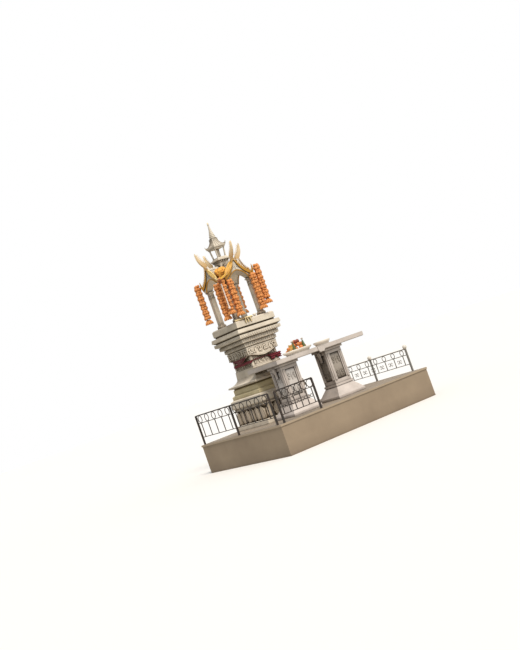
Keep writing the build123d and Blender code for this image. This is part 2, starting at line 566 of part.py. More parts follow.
left_x, right_x = -PLINTH_LENGTH / 2 + RAIL_EDGE, PLINTH_LENGTH / 2 - RAIL_EDGE
front_edge = -PLINTH_DEPTH / 2
front_rail = railing(FRONT_RAIL_LENGTH, NEAR_RAIL_HEIGHT, (0, FRONT_RAIL_LENGTH), FRONT_BARS)
save("rail_front",
     Pos(FRONT_RAIL_START - PLINTH_LENGTH / 2, front_edge + RAIL_EDGE, top_of_plinth) * front_rail)
left_posts = [LEFT_POST_SPACING * k for k in range(3)]
left_rail = railing(left_posts[-1], NEAR_RAIL_HEIGHT, left_posts, LEFT_BARS).rotate(Axis.Z, 90)
save("rail_left", Pos(left_x, front_edge + LEFT_RAIL_START, top_of_plinth) * left_rail)
right_posts = [RIGHT_POST_SPACING * k for k in range(3)]
right_rail = railing(right_posts[-1], FAR_RAIL_HEIGHT, right_posts, RIGHT_BARS, balls=True).rotate(Axis.Z, 90)
save("rail_right", Pos(right_x, front_edge + RIGHT_RAIL_START, top_of_plinth) * right_rail)


# Garlands: closed strands that hang beside the corner horns and in front of the gables' feet
def strand(length):
    """One hanging strand with a tassel at its foot and a rounded head, its top at Z = 0."""
    return faceted([
        (GARLAND_RADIUS * 0.5, -length - TASSEL_LENGTH),
        (GARLAND_RADIUS + TASSEL_SPREAD, -length - TASSEL_LENGTH * 0.6),
        (GARLAND_RADIUS, -length), (GARLAND_RADIUS, -HEAD_ROUNDING),
        (GARLAND_RADIUS - HEAD_ROUNDING / 2, 0)], STRAND_CORNER_COUNT)


corner_top = roof_level + HORN_RISE - CORNER_GARLAND_FROM_TIP
face_top = roof_level + EAVE_HEIGHT + RAKE_LIFT - BARGE_WIDTH - HEAD_ROUNDING / 2
face_offset = board_front + GARLAND_RADIUS + SEAT_GAP
corner_offset = eave_half + (horn_out + GARLAND_RADIUS + SEAT_GAP) * math.sqrt(0.5)
corner_strand = strand(CORNER_GARLAND_LENGTH)
face_strand = strand(FACE_GARLAND_LENGTH)


def hang(shape, x, y, height):
    """Put a soft piece at a place beside the shrine, its own zero at a height above the plinth."""
    return at_shrine(Pos(x, y, 0) * shape, height)


# A bunch of flowers lies in the roof valley above the front corner, its foot where the two slopes meet
bunch_foot_radius = BUNCH_RADIUS * 0.03
valley_height = height_on_arc(roof_slope, BUNCH_SPACING - bunch_foot_radius)
bunch = faceted([(bunch_foot_radius, 0)] + [(BUNCH_RADIUS * share, BUNCH_HEIGHT * rise) for share, rise in (
    (0.18, 0.12), (0.5, 0.27), (0.79, 0.44), (1, 0.64), (0.96, 0.86), (0.58, 1))], STRAND_CORNER_COUNT)

save("garlands_front", Compound(children=[
    hang(bunch, -BUNCH_SPACING, -BUNCH_SPACING, roof_level + valley_height + SEAT_GAP),
    hang(corner_strand, -corner_offset, -corner_offset, corner_top),
    hang(face_strand, -FACE_GARLAND_SPACING, -face_offset, face_top),
    hang(face_strand, -face_offset, -FACE_GARLAND_SPACING, face_top)]))
save("garlands_right", Compound(children=[
    hang(corner_strand, corner_offset, -corner_offset, corner_top),
    hang(face_strand, FACE_GARLAND_SPACING, -face_offset, face_top)]))
save("garland_left", hang(corner_strand, -corner_offset, corner_offset, corner_top))
save("garland_back", hang(corner_strand, corner_offset, corner_offset, corner_top))

# Yellow sash: two limbs that fall from the gable tips to the front corner, in front of the bargeboards, and
# a knot in front of the strand there
limb_low = (-gable_foot + SASH_FROM_FOOT, face_top + SASH_WIDTH)
limb_high = (-RIDGE_HALF * 2.2, roof_level + GABLE_RISE - SASH_FROM_TIP)
limb_run = math.dist(limb_low, limb_high)
limb_slope = math.degrees(math.atan2(limb_high[1] - limb_low[1], limb_high[0] - limb_low[0]))
limb = Box(limb_run, SASH_THICKNESS, SASH_WIDTH).rotate(Axis.Y, -limb_slope)
limb = Pos((limb_low[0] + limb_high[0]) / 2, -barge_front - SEAT_GAP - SASH_THICKNESS / 2,
           (limb_low[1] + limb_high[1]) / 2) * limb
knot_offset = corner_offset + (GARLAND_RADIUS + KNOT_RADIUS + SEAT_GAP) * math.sqrt(0.5)
knot = faceted([(KNOT_RADIUS * share, KNOT_RADIUS * rise) for share, rise in (
    (0.4, -1), (0.9, -0.5), (1, 0), (0.9, 0.5), (0.4, 1))], STRAND_CORNER_COUNT)
save("corner_sash", Compound(children=[
    at_shrine(limb, 0), at_shrine(mirror(limb, about=Plane.YZ).rotate(Axis.Z, -90), 0),
    hang(knot, -knot_offset, -knot_offset, face_top + KNOT_RADIUS)]))

# Red cloth: a band round the neck, tied in a loose bow at the right of the south face, and a swag of the same
# cloth over the apron's lower edge on the west
cloth_inner = 2 * (NECK_HALF + SEAT_GAP)
cloth_outer = cloth_inner + 2 * CLOTH_THICKNESS
cloth = Box(cloth_outer, cloth_outer, CLOTH_HEIGHT) - Box(cloth_inner, cloth_inner, CLOTH_HEIGHT)
cloth += Pos(NECK_HALF - BOW_WIDTH / 4, -cloth_outer / 2 - BOW_THICKNESS / 2,
             CLOTH_HEIGHT / 2 - BOW_DROP / 2) * Box(BOW_WIDTH, BOW_THICKNESS, BOW_DROP)
swag = Box(SWAG_THICKNESS, SWAG_WIDTH, SWAG_DROP)
swag = Pos(-apron_half - SEAT_GAP - SWAG_THICKNESS / 2, 0, neck_level + NECK_HEIGHT - SWAG_DROP * 0.35) * swag
save("neck_cloth", Compound(children=[at_shrine(cloth, cloth_level), at_shrine(swag, 0)]))
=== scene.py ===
import math

import bmesh
import bpy
import numpy as np
from mathutils import Matrix, Vector


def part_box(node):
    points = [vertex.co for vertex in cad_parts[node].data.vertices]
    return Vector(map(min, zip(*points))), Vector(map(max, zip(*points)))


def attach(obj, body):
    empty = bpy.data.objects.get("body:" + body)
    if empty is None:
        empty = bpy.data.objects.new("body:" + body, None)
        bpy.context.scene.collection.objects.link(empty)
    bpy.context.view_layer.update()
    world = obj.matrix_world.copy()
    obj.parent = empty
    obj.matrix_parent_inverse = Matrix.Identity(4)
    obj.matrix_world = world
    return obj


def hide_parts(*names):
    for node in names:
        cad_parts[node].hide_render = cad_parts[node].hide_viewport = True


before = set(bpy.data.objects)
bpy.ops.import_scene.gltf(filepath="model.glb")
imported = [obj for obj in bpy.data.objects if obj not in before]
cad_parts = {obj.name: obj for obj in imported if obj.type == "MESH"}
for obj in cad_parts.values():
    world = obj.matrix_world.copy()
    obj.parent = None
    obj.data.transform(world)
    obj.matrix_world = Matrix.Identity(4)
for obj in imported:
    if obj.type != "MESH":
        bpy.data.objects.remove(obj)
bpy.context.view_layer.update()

# A spirit house of painted cast concrete, with an altar table in front, on a railed masonry plinth.
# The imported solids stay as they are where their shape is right; carving, flowers and cloth are added here.
# Metres, Z up, X to the right along the plinth's front. "South" is the side that faces the table.

# Camera: low, off the front left corner, and held turned, so that uprights lean left.
# The lens is the length that was worked out for a frame 520 wide and 650 high.
def show(name, data):
    """A new object with this data, put in the scene."""
    made = bpy.data.objects.new(name, data)
    bpy.context.scene.collection.objects.link(made)
    return made


FRAME_HEIGHT_PX, FOCAL_PX, SENSOR_MM, FARTHEST_SEEN = 650, 1004.5, 36, 400
VIEWPOINT = (-11.198, -15.292, 1.487)
yaw, pitch, roll = (math.radians(angle) for angle in (34.91, 2.55, -19.5))
ahead = Vector((math.sin(yaw) * math.cos(pitch), math.cos(yaw) * math.cos(pitch), math.sin(pitch)))
lens = bpy.data.cameras.new("camera")
lens.sensor_fit = "VERTICAL"
lens.sensor_height = SENSOR_MM
lens.lens = SENSOR_MM * FOCAL_PX / FRAME_HEIGHT_PX
lens.clip_end = FARTHEST_SEEN
camera = show("camera", lens)
camera.matrix_world = (Matrix.Translation(VIEWPOINT) @ ahead.to_track_quat("-Z", "Y").to_matrix().to_4x4()
                       @ Matrix.Rotation(roll, 4, "Z"))
bpy.context.scene.camera = camera
bpy.context.scene.view_settings.view_transform = "Standard"


# Light: a soft sun from the front, and an even sky that fills the shade.
# What the lens and mirrors see of the sky is plain white; what lights the object is weaker.
def linear(code):
    """An sRGB hex colour as linear red, green and blue with a full alpha: the curve of the sRGB standard."""
    level = np.array([int(code[i:i + 2], 16) for i in (1, 3, 5)]) / 255
    level = np.where(level <= 0.04045, level / 12.92, ((level + 0.055) / 1.055) ** 2.4)
    return (*level.tolist(), 1.0)


def add(tree, kind, sockets=(), **settings):
    """One shader node of a kind with its settings; each socket is given a value or linked from another."""
    made = tree.nodes.new("ShaderNode" + kind)
    for name, value in settings.items():
        setattr(made, name, value)
    for name, value in dict(sockets).items():
        if isinstance(value, bpy.types.NodeSocket):
            tree.links.new(value, made.inputs[name])
        else:
            made.inputs[name].default_value = value
    return made


SUN_FROM, SUN_POWER, SUN_WIDTH = Vector((-0.12, -0.62, 0.90)), 2.8, math.radians(24)
SKY_POWER = 0.60
sun = bpy.data.lights.new("sun", "SUN")
sun.energy, sun.angle = SUN_POWER, SUN_WIDTH
sun.color = linear("#fff6ea")[:3]
show("sun", sun).rotation_euler = SUN_FROM.to_track_quat("Z", "Y").to_euler()

sky = bpy.data.worlds.new("sky")
sky.use_nodes = True
bpy.context.scene.world = sky
sky.node_tree.nodes.clear()
rays = add(sky.node_tree, "LightPath")
seen = rays.outputs["Is Camera Ray"]
for kind in ("Is Glossy Ray", "Is Transmission Ray"):
    seen = add(sky.node_tree, "Math", {0: seen, 1: rays.outputs[kind]}, operation="MAXIMUM").outputs[0]
filling = add(sky.node_tree, "Background", {"Color": linear("#eef2f8"), "Strength": SKY_POWER})
white = add(sky.node_tree, "Background", {"Color": linear("#ffffff"), "Strength": 1.0})
both = add(sky.node_tree, "MixShader", {0: seen, 1: filling.outputs[0], 2: white.outputs[0]})
add(sky.node_tree, "OutputWorld", {"Surface": both.outputs[0]})


# Floor: a plain pale stage, not part of the object. It throws back less light than it shows, so that what
# faces down isn't lit too brightly.
def principled(name, roughness, metallic=0.0):
    """A new material with one Principled shader; gives the material, its node tree and the shader."""
    material = bpy.data.materials.new(name)
    material.use_nodes = True
    shader = material.node_tree.nodes["Principled BSDF"]
    shader.inputs["Roughness"].default_value = roughness
    shader.inputs["Metallic"].default_value = metallic
    return material, material.node_tree, shader


FLOOR_HALF, FLOOR_DROP = 150, 0.001
floor_paint, tree, shader = principled("pale_matt_floor", 0.9)
looked_at = add(tree, "LightPath").outputs["Is Camera Ray"]
tone = add(tree, "Mix", {0: looked_at, 6: linear("#bcb9ae"), 7: linear("#efeeeb")}, data_type="RGBA")
tree.links.new(tone.outputs[2], shader.inputs["Base Color"])
floor_mesh = bpy.data.meshes.new("floor")
floor_corners = ((-1, -1), (1, -1), (1, 1), (-1, 1))
floor_mesh.from_pydata([(x * FLOOR_HALF, y * FLOOR_HALF, -FLOOR_DROP) for x, y in floor_corners], [],
                       [(0, 1, 2, 3)])
floor_mesh.materials.append(floor_paint)
floor = show("floor", floor_mesh)


# Plinth: brickwork under a coat of cement render, painted tan by brush. Rain has darkened its foot, and the
# top is bare grey screed with a paler worn edge.
def dress(material, *names):
    """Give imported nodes, which keep their shapes, this material."""
    for name in names:
        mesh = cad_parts[name].data
        mesh.materials.clear()
        mesh.materials.append(material)


def laid_over(tree, under, over, mask, none_at, full_at, share=1.0):
    """A colour over another: its part grows from 0 to share as the mask goes from none_at to full_at."""
    amount = add(tree, "MapRange", {
        "Value": mask, "From Min": none_at, "From Max": full_at, "To Max": share}).outputs[0]
    return add(tree, "Mix", {0: amount, 6: under, 7: over}, data_type="RGBA").outputs[2]


# The real pores are 1 to 2 mm across; they are drawn 9 mm across so that they show
PORE_MM, RUNS_PER_METRE, RUN_DRAWN_OUT = 9, 14, 0.07


def weathered(name, paint, dirt_and_shade, roughness, metallic=0.0, patch_mm=350, streak=0.35, crevice_mm=45, grime_and_shade=1.0,
              west_shade=0.22):
    """Brushed paint on cast concrete. The colour goes from paint to the dark colour by patches * (1 +
    streaks) + closed_in + west: patches are broad noise, streaks are noise drawn out in height as rain runs,
    closed_in is stains and painted shade where a point is shut in by what stands round it, and west is
    painted shade on what faces west."""
    material, tree, shader = principled(name, roughness, metallic)
    place = add(tree, "TexCoord").outputs["Object"]
    noise = add(tree, "TexNoise", {
        "Vector": place, "Scale": 1000 / patch_mm, "Detail": 6, "Roughness": 0.62}).outputs["Fac"]
    drawn_out = add(tree, "Mapping", {"Vector": place, "Scale": (1, 1, RUN_DRAWN_OUT)}).outputs["Vector"]
    runs = add(tree, "TexNoise", {
        "Vector": drawn_out, "Scale": RUNS_PER_METRE, "Detail": 4}).outputs["Fac"]
    # How shut in a point is: it lays on painted shade together with stains in closed-in places
    open_share = add(tree, "AmbientOcclusion", {"Distance": crevice_mm / 1000}, samples=8).outputs["AO"]
    # The normal's east share: what faces west gets painted shade
    normal = add(tree, "NewGeometry").outputs["Normal"]
    to_east = add(tree, "SeparateXYZ", {0: normal}).outputs["X"]
    patches, streaks, closed_in, west = (
        add(tree, "MapRange", {
            "Value": value, "From Min": none_at, "From Max": full_at, "To Max": most}).outputs[0]
        for value, none_at, full_at, most in (
            (noise, 0.35, 0.7, 0.28), (runs, 0.48, 0.78, streak), (open_share, 0.92, 0.35, grime_and_shade),
            (to_east, -0.1, -0.8, west_shade)))
    share = add(tree, "Math", {0: streaks, 1: patches, 2: patches}, operation="MULTIPLY_ADD").outputs[0]
    share = add(tree, "Math", {0: share, 1: closed_in}, operation="ADD").outputs[0]
    share = add(tree, "Math", {0: share, 1: west}, operation="ADD", use_clamp=True).outputs[0]
    colour = add(tree, "Mix", {0: share, 6: linear(paint), 7: linear(dirt_and_shade)}, data_type="RGBA").outputs[2]
    pores = add(tree, "TexNoise", {
        "Vector": place, "Scale": 1000 / PORE_MM, "Detail": 5, "Roughness": 0.7}).outputs["Fac"]
    relief = add(tree, "Bump", {"Height": pores, "Strength": 0.35, "Distance": 0.004}).outputs["Normal"]
    tree.links.new(colour, shader.inputs["Base Color"])
    tree.links.new(relief, shader.inputs["Normal"])
    return material, tree, shader, place, colour


# Tan emulsion on render gives a chalky, uneven brown that is darkest where water runs and splashes.
# Painted shade darkens it where other parts stand close.
SPLASH_TOP, WORN_EDGE_FOOT, WORN_EDGE_TOP = 0.22, 0.508, 0.522
tan_render, tree, shader, place, colour = weathered(
    "tan_painted_render", "#a2907a", "#6d5e4e", 0.88, patch_mm=700, streak=0.3, crevice_mm=60, grime_and_shade=0.6,
    west_shade=0.0)
height = add(tree, "SeparateXYZ", {0: place}).outputs["Z"]
normal = add(tree, "NewGeometry").outputs["Normal"]
upward = add(tree, "SeparateXYZ", {0: normal}).outputs["Z"]
grains = add(tree, "TexNoise", {"Vector": place, "Scale": 6, "Detail": 8, "Roughness": 0.7}).outputs["Fac"]
screed = add(tree, "Mix", {
    0: grains, 6: linear("#7d7264"), 7: linear("#a89a89")}, data_type="RGBA").outputs[2]
colour = laid_over(tree, colour, linear("#6d6052"), height, SPLASH_TOP, 0.0, 0.35)
colour = laid_over(tree, colour, linear("#b5a48d"), height, WORN_EDGE_FOOT, WORN_EDGE_TOP, 0.65)
colour = laid_over(tree, colour, screed, upward, 0.8, 0.95)
tree.links.new(colour, shader.inputs["Base Color"])
dress(tan_render, "plinth")

# Pedestal and pavilion: rings, posts and boards of concrete, cast in moulds, stacked and painted white. The
# paint is chalky; olive brown dirt and moss, with painted shade, sit in every groove and behind the carving,
# and painted shade darkens the west faces.
SIDES, CORNERS = ("south", "east", "north", "west"), ("front", "right", "back", "left")
cast_white = weathered("white_painted_cast_concrete", "#e9dfcd", "#54452f", 0.8, grime_and_shade=1.5, streak=0.32,
                       crevice_mm=60, west_shade=0.34)[0]
dress(cast_white, "bell_foot", "neck", "apron_collar", "moulded_bands", "platform_edge", "upper_slab",
      "roof_vault", "roof_ledge", "lantern", "crown_roof", "spire",
      *[f"column_{corner}" for corner in CORNERS], *[f"gable_{side}" for side in SIDES])
# The plain lower rings carry less dirt and less painted shade in their grooves and on their west faces
less_shaded_white = weathered("less_shaded_white_cast_concrete", "#e9dfcd", "#6d5c43", 0.8, grime_and_shade=0.9, streak=0.25,
                         crevice_mm=35, west_shade=0.1)[0]
dress(less_shaded_white, "base_step", "white_tier")
# Dirt and painted shade darken its grooves, and painted shade its west faces
cream_paint = weathered("cream_painted_cast_concrete", "#dccfa8", "#76653f", 0.78, grime_and_shade=1.2, streak=0.3)[0]
dress(cream_paint, "cream_tier")

# Petal tier: a ring cast with standing petals and coloured tan, with dirt and painted shade in its grooves
# and painted shade on its west faces. Each petal carries a swollen leaf with a smaller one on it, and a
# further leaf shows in every gap between two petals.
def upright_axis(node):
    """The point at height 0 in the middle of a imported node's box."""
    low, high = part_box(node)
    return np.array([(low.x + high.x) / 2, (low.y + high.y) / 2, 0.0])


# Everything on the pedestal repeats in quarter turns round this axis
shrine = upright_axis("neck")


def quarter_turns(blocks, turns=(0, 1, 2, 3), centre=shrine):
    """Copies of blocks drawn for the south side about an upright axis, turned by quarter turns: x and y
    become x cos - y sin and x sin + y cos."""
    copies = []
    for turn in turns:
        c, s = round(math.cos(turn * math.pi / 2)), round(math.sin(turn * math.pi / 2))
        matrix = np.array([[c, s, 0], [-s, c, 0], [0, 0, 1]])
        copies += [(points @ matrix + centre, faces) for points, faces in blocks]
    return copies


def grid_faces(rows, columns, loop=True):
    """The four-sided faces of a grid of points, row after row; with loop, each row is a closed ring."""
    r = np.arange(rows - 1)[:, None]
    c = np.arange(columns if loop else columns - 1)[None, :]
    after = (c + 1) % columns
    faces = [r * columns + c, r * columns + after, (r + 1) * columns + after, (r + 1) * columns + c]
    return np.stack(np.broadcast_arrays(*faces), axis=-1).reshape(-1, 4)


def tube(path, radii, sides=8, across=(0, 1, 0), flat=1.0):
    """A closed tube. Round each point of the path stands a ring: radius * (cos t * side + flat * sin t *
    across), where side is square to the path and to the given direction. Both ends are drawn to a point."""
    path = np.asarray(path, float)
    radii = np.broadcast_to(np.asarray(radii, float), len(path))
    across = np.broadcast_to(np.asarray(across, float), path.shape)
    along = np.gradient(path, axis=0)
    side = np.cross(along, across)
    side /= np.linalg.norm(side, axis=1, keepdims=True)
    path = np.vstack([path[:1], path, path[-1:]])
    radii = np.concatenate([[0], radii, [0]])
    side, across = (np.vstack([v[:1], v, v[-1:]]) for v in (side, across))
    t = np.linspace(0, 2 * np.pi, sides, endpoint=False)
    ring = np.cos(t)[None, :, None] * side[:, None] + flat * np.sin(t)[None, :, None] * across[:, None]
    points = path[:, None] + radii[:, None, None] * ring
    return points.reshape(-1, 3), grid_faces(len(path), sides)


def leaf(foot, tip, half_width, swell, lean=0.0, rows=9, sides=10):
    """A pointed leaf on a wall that faces south, from foot to tip as (x, y, z). Its half-width follows
    sin(pi * (0.16 + 0.84 u**0.85)), its back is sunk in the wall, and lean * u**2 bends the tip outwards."""
    u = np.linspace(0, 1, rows)
    foot, tip = np.array(foot, float), np.array(tip, float)
    path = foot + (tip - foot) * u[:, None]
    path[:, 1] -= lean * u ** 2
    width = half_width * np.clip(np.sin(np.pi * (0.16 + 0.84 * u ** 0.85)), 0.02, 1)
    return tube(path, width, sides, across=(0, 1, 0), flat=swell / half_width)


def make_piece(name, blocks, material, tints=None, smooth=True):
    """One mesh from blocks of (points, faces). Doubles are merged, which closes seams and poles, and the
    faces are turned outwards. tints gives each block a number from 0 to 1 for its material to read."""
    counts = [len(points) for points, _ in blocks]
    starts = np.cumsum([0] + counts[:-1])
    vertices = np.vstack([points for points, _ in blocks])
    faces = np.vstack([faces + start for (_, faces), start in zip(blocks, starts)])
    mesh = bpy.data.meshes.new(name)
    mesh.from_pydata(vertices.tolist(), [], faces.tolist())
    if tints is not None:
        attribute = mesh.attributes.new("tint", "FLOAT", "POINT")
        attribute.data.foreach_set("value", np.repeat(tints, counts).astype(np.float32))
    work = bmesh.new()
    work.from_mesh(mesh)
    bmesh.ops.remove_doubles(work, verts=work.verts, dist=1e-6)
    bmesh.ops.recalc_face_normals(work, faces=work.faces)
    work.to_mesh(mesh)
    work.free()
    if smooth:
        mesh.shade_smooth()
    mesh.materials.append(material)
    piece = show(name, mesh)
    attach(piece, "root")
    return piece


PETALS_PER_SIDE, PETAL_CORNER = 6, 0.026
PETAL_FOOT, OUTER_TIP, INNER_TIP, INNER_LEAN = 0.008, 0.252, 0.165, 0.010
GAP_FOOT, GAP_TIP, GAP_FOOT_DEPTH, GAP_TIP_DEPTH = 0.12, 0.262, 0.032, 0.016
petal_tone = weathered("tan_toned_cast_concrete", "#ddceb8", "#4c3d2a", 0.82, grime_and_shade=1.6, streak=0.3)[0]
dress(petal_tone, "petal_tier")
low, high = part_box("petal_tier")
wall = (low.y - high.y) / 2
petal_pitch = 2 * (-wall - PETAL_CORNER) / PETALS_PER_SIDE
petals = []
for k in range(PETALS_PER_SIDE):
    x = petal_pitch * (k - (PETALS_PER_SIDE - 1) / 2)
    foot = (x, wall, low.z + PETAL_FOOT)
    petals.append(leaf(foot, (x, wall, low.z + OUTER_TIP), half_width=0.056, swell=0.012, lean=0.004))
    petals.append(leaf(foot, (x, wall - INNER_LEAN, low.z + INNER_TIP), half_width=0.032, swell=0.010))
    if k:
        x -= petal_pitch / 2
        foot, tip = (x, wall + GAP_FOOT_DEPTH, low.z + GAP_FOOT), (x, wall + GAP_TIP_DEPTH, low.z + GAP_TIP)
        petals.append(leaf(foot, tip, half_width=0.030, swell=0.014))
make_piece("petal_carving", quarter_turns(petals), petal_tone)


# Neck: a plain square block with one sunk panel on each side, which two clumps of foliage fill. They were
# cast with it, and many coats of paint have worn them soft.
def points_at(x, y, z):
    """Points from their three coordinates, each of them a number or an array that fits the others."""
    return np.stack(np.broadcast_arrays(x, y, z), axis=-1)


def scrollwork(x, wall, foot, width, height, thick):
    """Foliage on a wall that faces south, the same on both sides of x: two stems that wind inwards as radius
    = size * (1 - 0.85 u), leaves that stand off each stem, and a bud on the axis. A stem's centre is given in
    shares of the half-width and height, its size as a share of the less of the two, its turn in degrees."""
    half = width / 2
    u = np.linspace(0, 1, 20)
    bud_foot, bud_tip = (x, wall, foot + height * 0.08), (x, wall, foot + height * 0.95)
    blocks = [leaf(bud_foot, bud_tip, half * 0.13, thick, rows=7, sides=8)]
    for sign in (-1, 1):
        for at_x, at_z, size, start, sweep in ((0.56, 0.60, 0.38, -115, 420), (0.74, 0.22, 0.2, 130, -360)):
            centre = np.array([x + sign * at_x * half, wall, foot + at_z * height])
            reach = size * min(half, height)
            angle = np.radians(start + sweep * u)
            radius = reach * (1 - 0.85 * u)
            path = centre + points_at(sign * radius * np.cos(angle), 0, radius * np.sin(angle))
            blocks.append(tube(path, thick * (1 - 0.5 * u), 6))
            for k in (1, 3, 5):
                out = path[k] - centre
                tip = path[k] + out * 0.5
                tip[2] = np.clip(tip[2], foot, foot + height)
                blocks.append(leaf(path[k] - out * 0.1, tip, reach * 0.16, thick, rows=6, sides=8))
    return blocks


PANEL_DEPTH, PANEL_FROM_MIDDLE, PANEL_FOOT = 0.014, 0.13, 0.03
low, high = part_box("neck")
neck_half = (high.x - low.x) / 2
panels = []
for x in (-PANEL_FROM_MIDDLE, PANEL_FROM_MIDDLE):
    panels += scrollwork(x, PANEL_DEPTH - neck_half, low.z + PANEL_FOOT, width=0.24, height=0.15, thick=0.016)
make_piece("neck_carving", quarter_turns(panels), cast_white)

# Apron: a collar cast to look like a cloth over the neck's top, with a rolled hem that dips in the middle of
# each side. Two clumps of foliage and a wavy stem with four crests make a running vine on it.
APRON_SINK, CLUMP_FROM_MIDDLE, CLUMP_DROP = 0.004, 0.17, 0.150
VINE_HALF, VINE_DROP, VINE_CREST, VINE_WAVE, VINE_THICK = 0.325, 0.080, 0.040, 0.1625, 0.013
HEM_HALF, HEM_LIFT, HEM_THICK = 0.345, 0.008, 0.010
HEM = ((-0.351, 0.067), (-0.281, 0.067), (-0.14, 0.022), (0, 0.0), (0.14, 0.022), (0.281, 0.067),
       (0.351, 0.067))
low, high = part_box("apron_collar")
wall = APRON_SINK - (high.x - low.x) / 2
apron = []
for x in (-CLUMP_FROM_MIDDLE, CLUMP_FROM_MIDDLE):
    apron += scrollwork(x, wall, high.z - CLUMP_DROP, width=0.33, height=0.135, thick=0.020)
x = np.linspace(-VINE_HALF, VINE_HALF, 80)
vine = points_at(x, wall, high.z - VINE_DROP + VINE_CREST * np.sin(2 * np.pi * x / VINE_WAVE))
apron.append(tube(vine, VINE_THICK, 8))
x = np.linspace(-HEM_HALF, HEM_HALF, 40)
apron.append(tube(points_at(x, wall, low.z + HEM_LIFT + np.interp(x, *np.array(HEM).T)), HEM_THICK, 6))
make_piece("apron_carving", quarter_turns(apron), cast_white)

# Bands: three cast rings that widen upwards under the platform. Each has a row of small upright leaves, cast
# with it, that stand a few millimetres off its face.
BAND_HALVES, BAND_LEAF_FOOT, BAND_LEAF_HEIGHT, BAND_CORNER = (0.374, 0.427, 0.480), 0.024, 0.052, 0.02
low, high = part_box("moulded_bands")
band_rows = []
for band, half in enumerate(BAND_HALVES):
    count = 14 + 2 * band
    pitch = 2 * (half - BAND_CORNER) / count
    foot = low.z + band * (high.z - low.z) / len(BAND_HALVES) + BAND_LEAF_FOOT
    for x in pitch * (np.arange(count) - (count - 1) / 2):
        band_rows.append(leaf((x, -half, foot), (x, -half, foot + BAND_LEAF_HEIGHT), half_width=pitch * 0.36,
                              swell=0.005, rows=6, sides=6))
make_piece("band_leaves", quarter_turns(band_rows), cast_white)

# Columns: square shafts, each cast in one with its pad and capital. A collar of three leaves and a thin roll
# go round the shaft below the capital and above the pad.
SHAFT_HALF, LEAF_PITCH, COLLAR_ROLL = 0.045, 0.029, 0.008
low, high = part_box("column_front")
collar = []
for x in (-LEAF_PITCH, 0, LEAF_PITCH):
    for foot, tip, lean in ((high.z - 0.125, high.z - 0.062, 0.004), (low.z + 0.060, low.z + 0.125, 0)):
        root, point = (x, -SHAFT_HALF, foot), (x, -SHAFT_HALF - lean, tip)
        collar.append(leaf(root, point, half_width=0.014, swell=0.007, rows=6, sides=6))
across_shaft = np.linspace(-1, 1, 9) * (SHAFT_HALF + 0.002)
for z in (high.z - 0.128, low.z + 0.066):
    collar.append(tube(points_at(across_shaft, -SHAFT_HALF, z), COLLAR_ROLL, 6))
one_column = quarter_turns(collar, centre=upright_axis("column_front") - shrine)
make_piece("column_collars", quarter_turns(one_column), cast_white)


# Gables: cast boards with a pointed arch, a rolled edge round it and foliage above. The rolls, and the rakes
# and horns that frame the boards, are brushed with gold paint, rubbed brown in the hollows.
def arc(first, middle, last, count):
    """Points along the circle through three points of a plane: its centre is where the two chords' square
    bisectors meet, and the angle runs evenly from first to last through middle."""
    a, b, c = (np.array(v, float) for v in (first, middle, last))
    rows = 2 * np.array([b - a, c - a])
    centre = np.linalg.solve(rows, [b @ b - a @ a, c @ c - a @ a])
    angles = np.unwrap([math.atan2(*(v - centre)[::-1]) for v in (a, b, c)])
    t = np.linspace(angles[0], angles[2], count)
    radius = np.linalg.norm(a - centre)
    return centre + radius * np.stack([np.cos(t), np.sin(t)], axis=-1)


gold_paint, tree, shader, place, colour = weathered(
    "gold_painted_cast_concrete", "#c8922e", "#4a3010", 0.45, metallic=0.25, grime_and_shade=1.3, streak=0.3,
    crevice_mm=35, west_shade=0.0)
# The tall horns turn paler from the gables' tips up
PALE_FROM_TOP, PALEST_FROM_TOP = 0.40, 0.12
height = add(tree, "SeparateXYZ", {0: place}).outputs["Z"]
horn_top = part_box("bargeboard_south")[1].z
colour = laid_over(tree, colour, linear("#f3dfba"), height, horn_top - PALE_FROM_TOP,
                   horn_top - PALEST_FROM_TOP, 0.85)
tree.links.new(colour, shader.inputs["Base Color"])
dress(gold_paint, *[f"bargeboard_{side}" for side in SIDES], *[f"corner_horn_{corner}" for corner in CORNERS])

ARCH = ((0.240, 0.0), (0.158, 0.124), (0.0, 0.200))
RAKE = ((0.307, 0.120), (0.129, 0.252), (0.018, 0.450))
ARCH_ROLL, ROLL_SINK, FLAMES_PER_RAKE = 0.012, 0.004, 10
FLAME_ROOT, FLAME_RISE, FLAME_BEND, FLAME_THICK, FLAME_DEPTH = 0.012, 0.058, 0.022, 0.016, 0.008
low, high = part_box("gable_south")
roof_foot, board_front = low.z, low.y - shrine[1]
foliage = scrollwork(0, board_front, roof_foot + 0.215, width=0.19, height=0.13, thick=0.008)
make_piece("gable_foliage", quarter_turns(foliage), cast_white)
rolls, flames = [], []
v = np.linspace(0, 1, 6)[:, None]
for sign in (-1, 1):
    x, z = (arc(*ARCH, 24) * [sign, 1]).T
    rolls.append(tube(points_at(x, board_front + ROLL_SINK, roof_foot + z), ARCH_ROLL, 8))
    rake = arc(*RAKE, FLAMES_PER_RAKE + 2) * [sign, 1]
    for k in range(1, FLAMES_PER_RAKE + 1):
        # A flame stands square to the rake and bends along it towards the tip
        along = rake[k + 1] - rake[k - 1]
        along /= np.linalg.norm(along)
        up = np.array([-along[1], along[0]])
        up *= math.copysign(1, up[1])
        x, z = (rake[k] + (v * FLAME_RISE - FLAME_ROOT) * up + v ** 2 * FLAME_BEND * along).T
        flames.append(tube(points_at(x, board_front - FLAME_DEPTH, roof_foot + z),
                           FLAME_THICK * (1 - v[:, 0] ** 1.3) + 0.001, 6, flat=0.5))
make_piece("arch_rolls", quarter_turns(rolls), gold_paint)

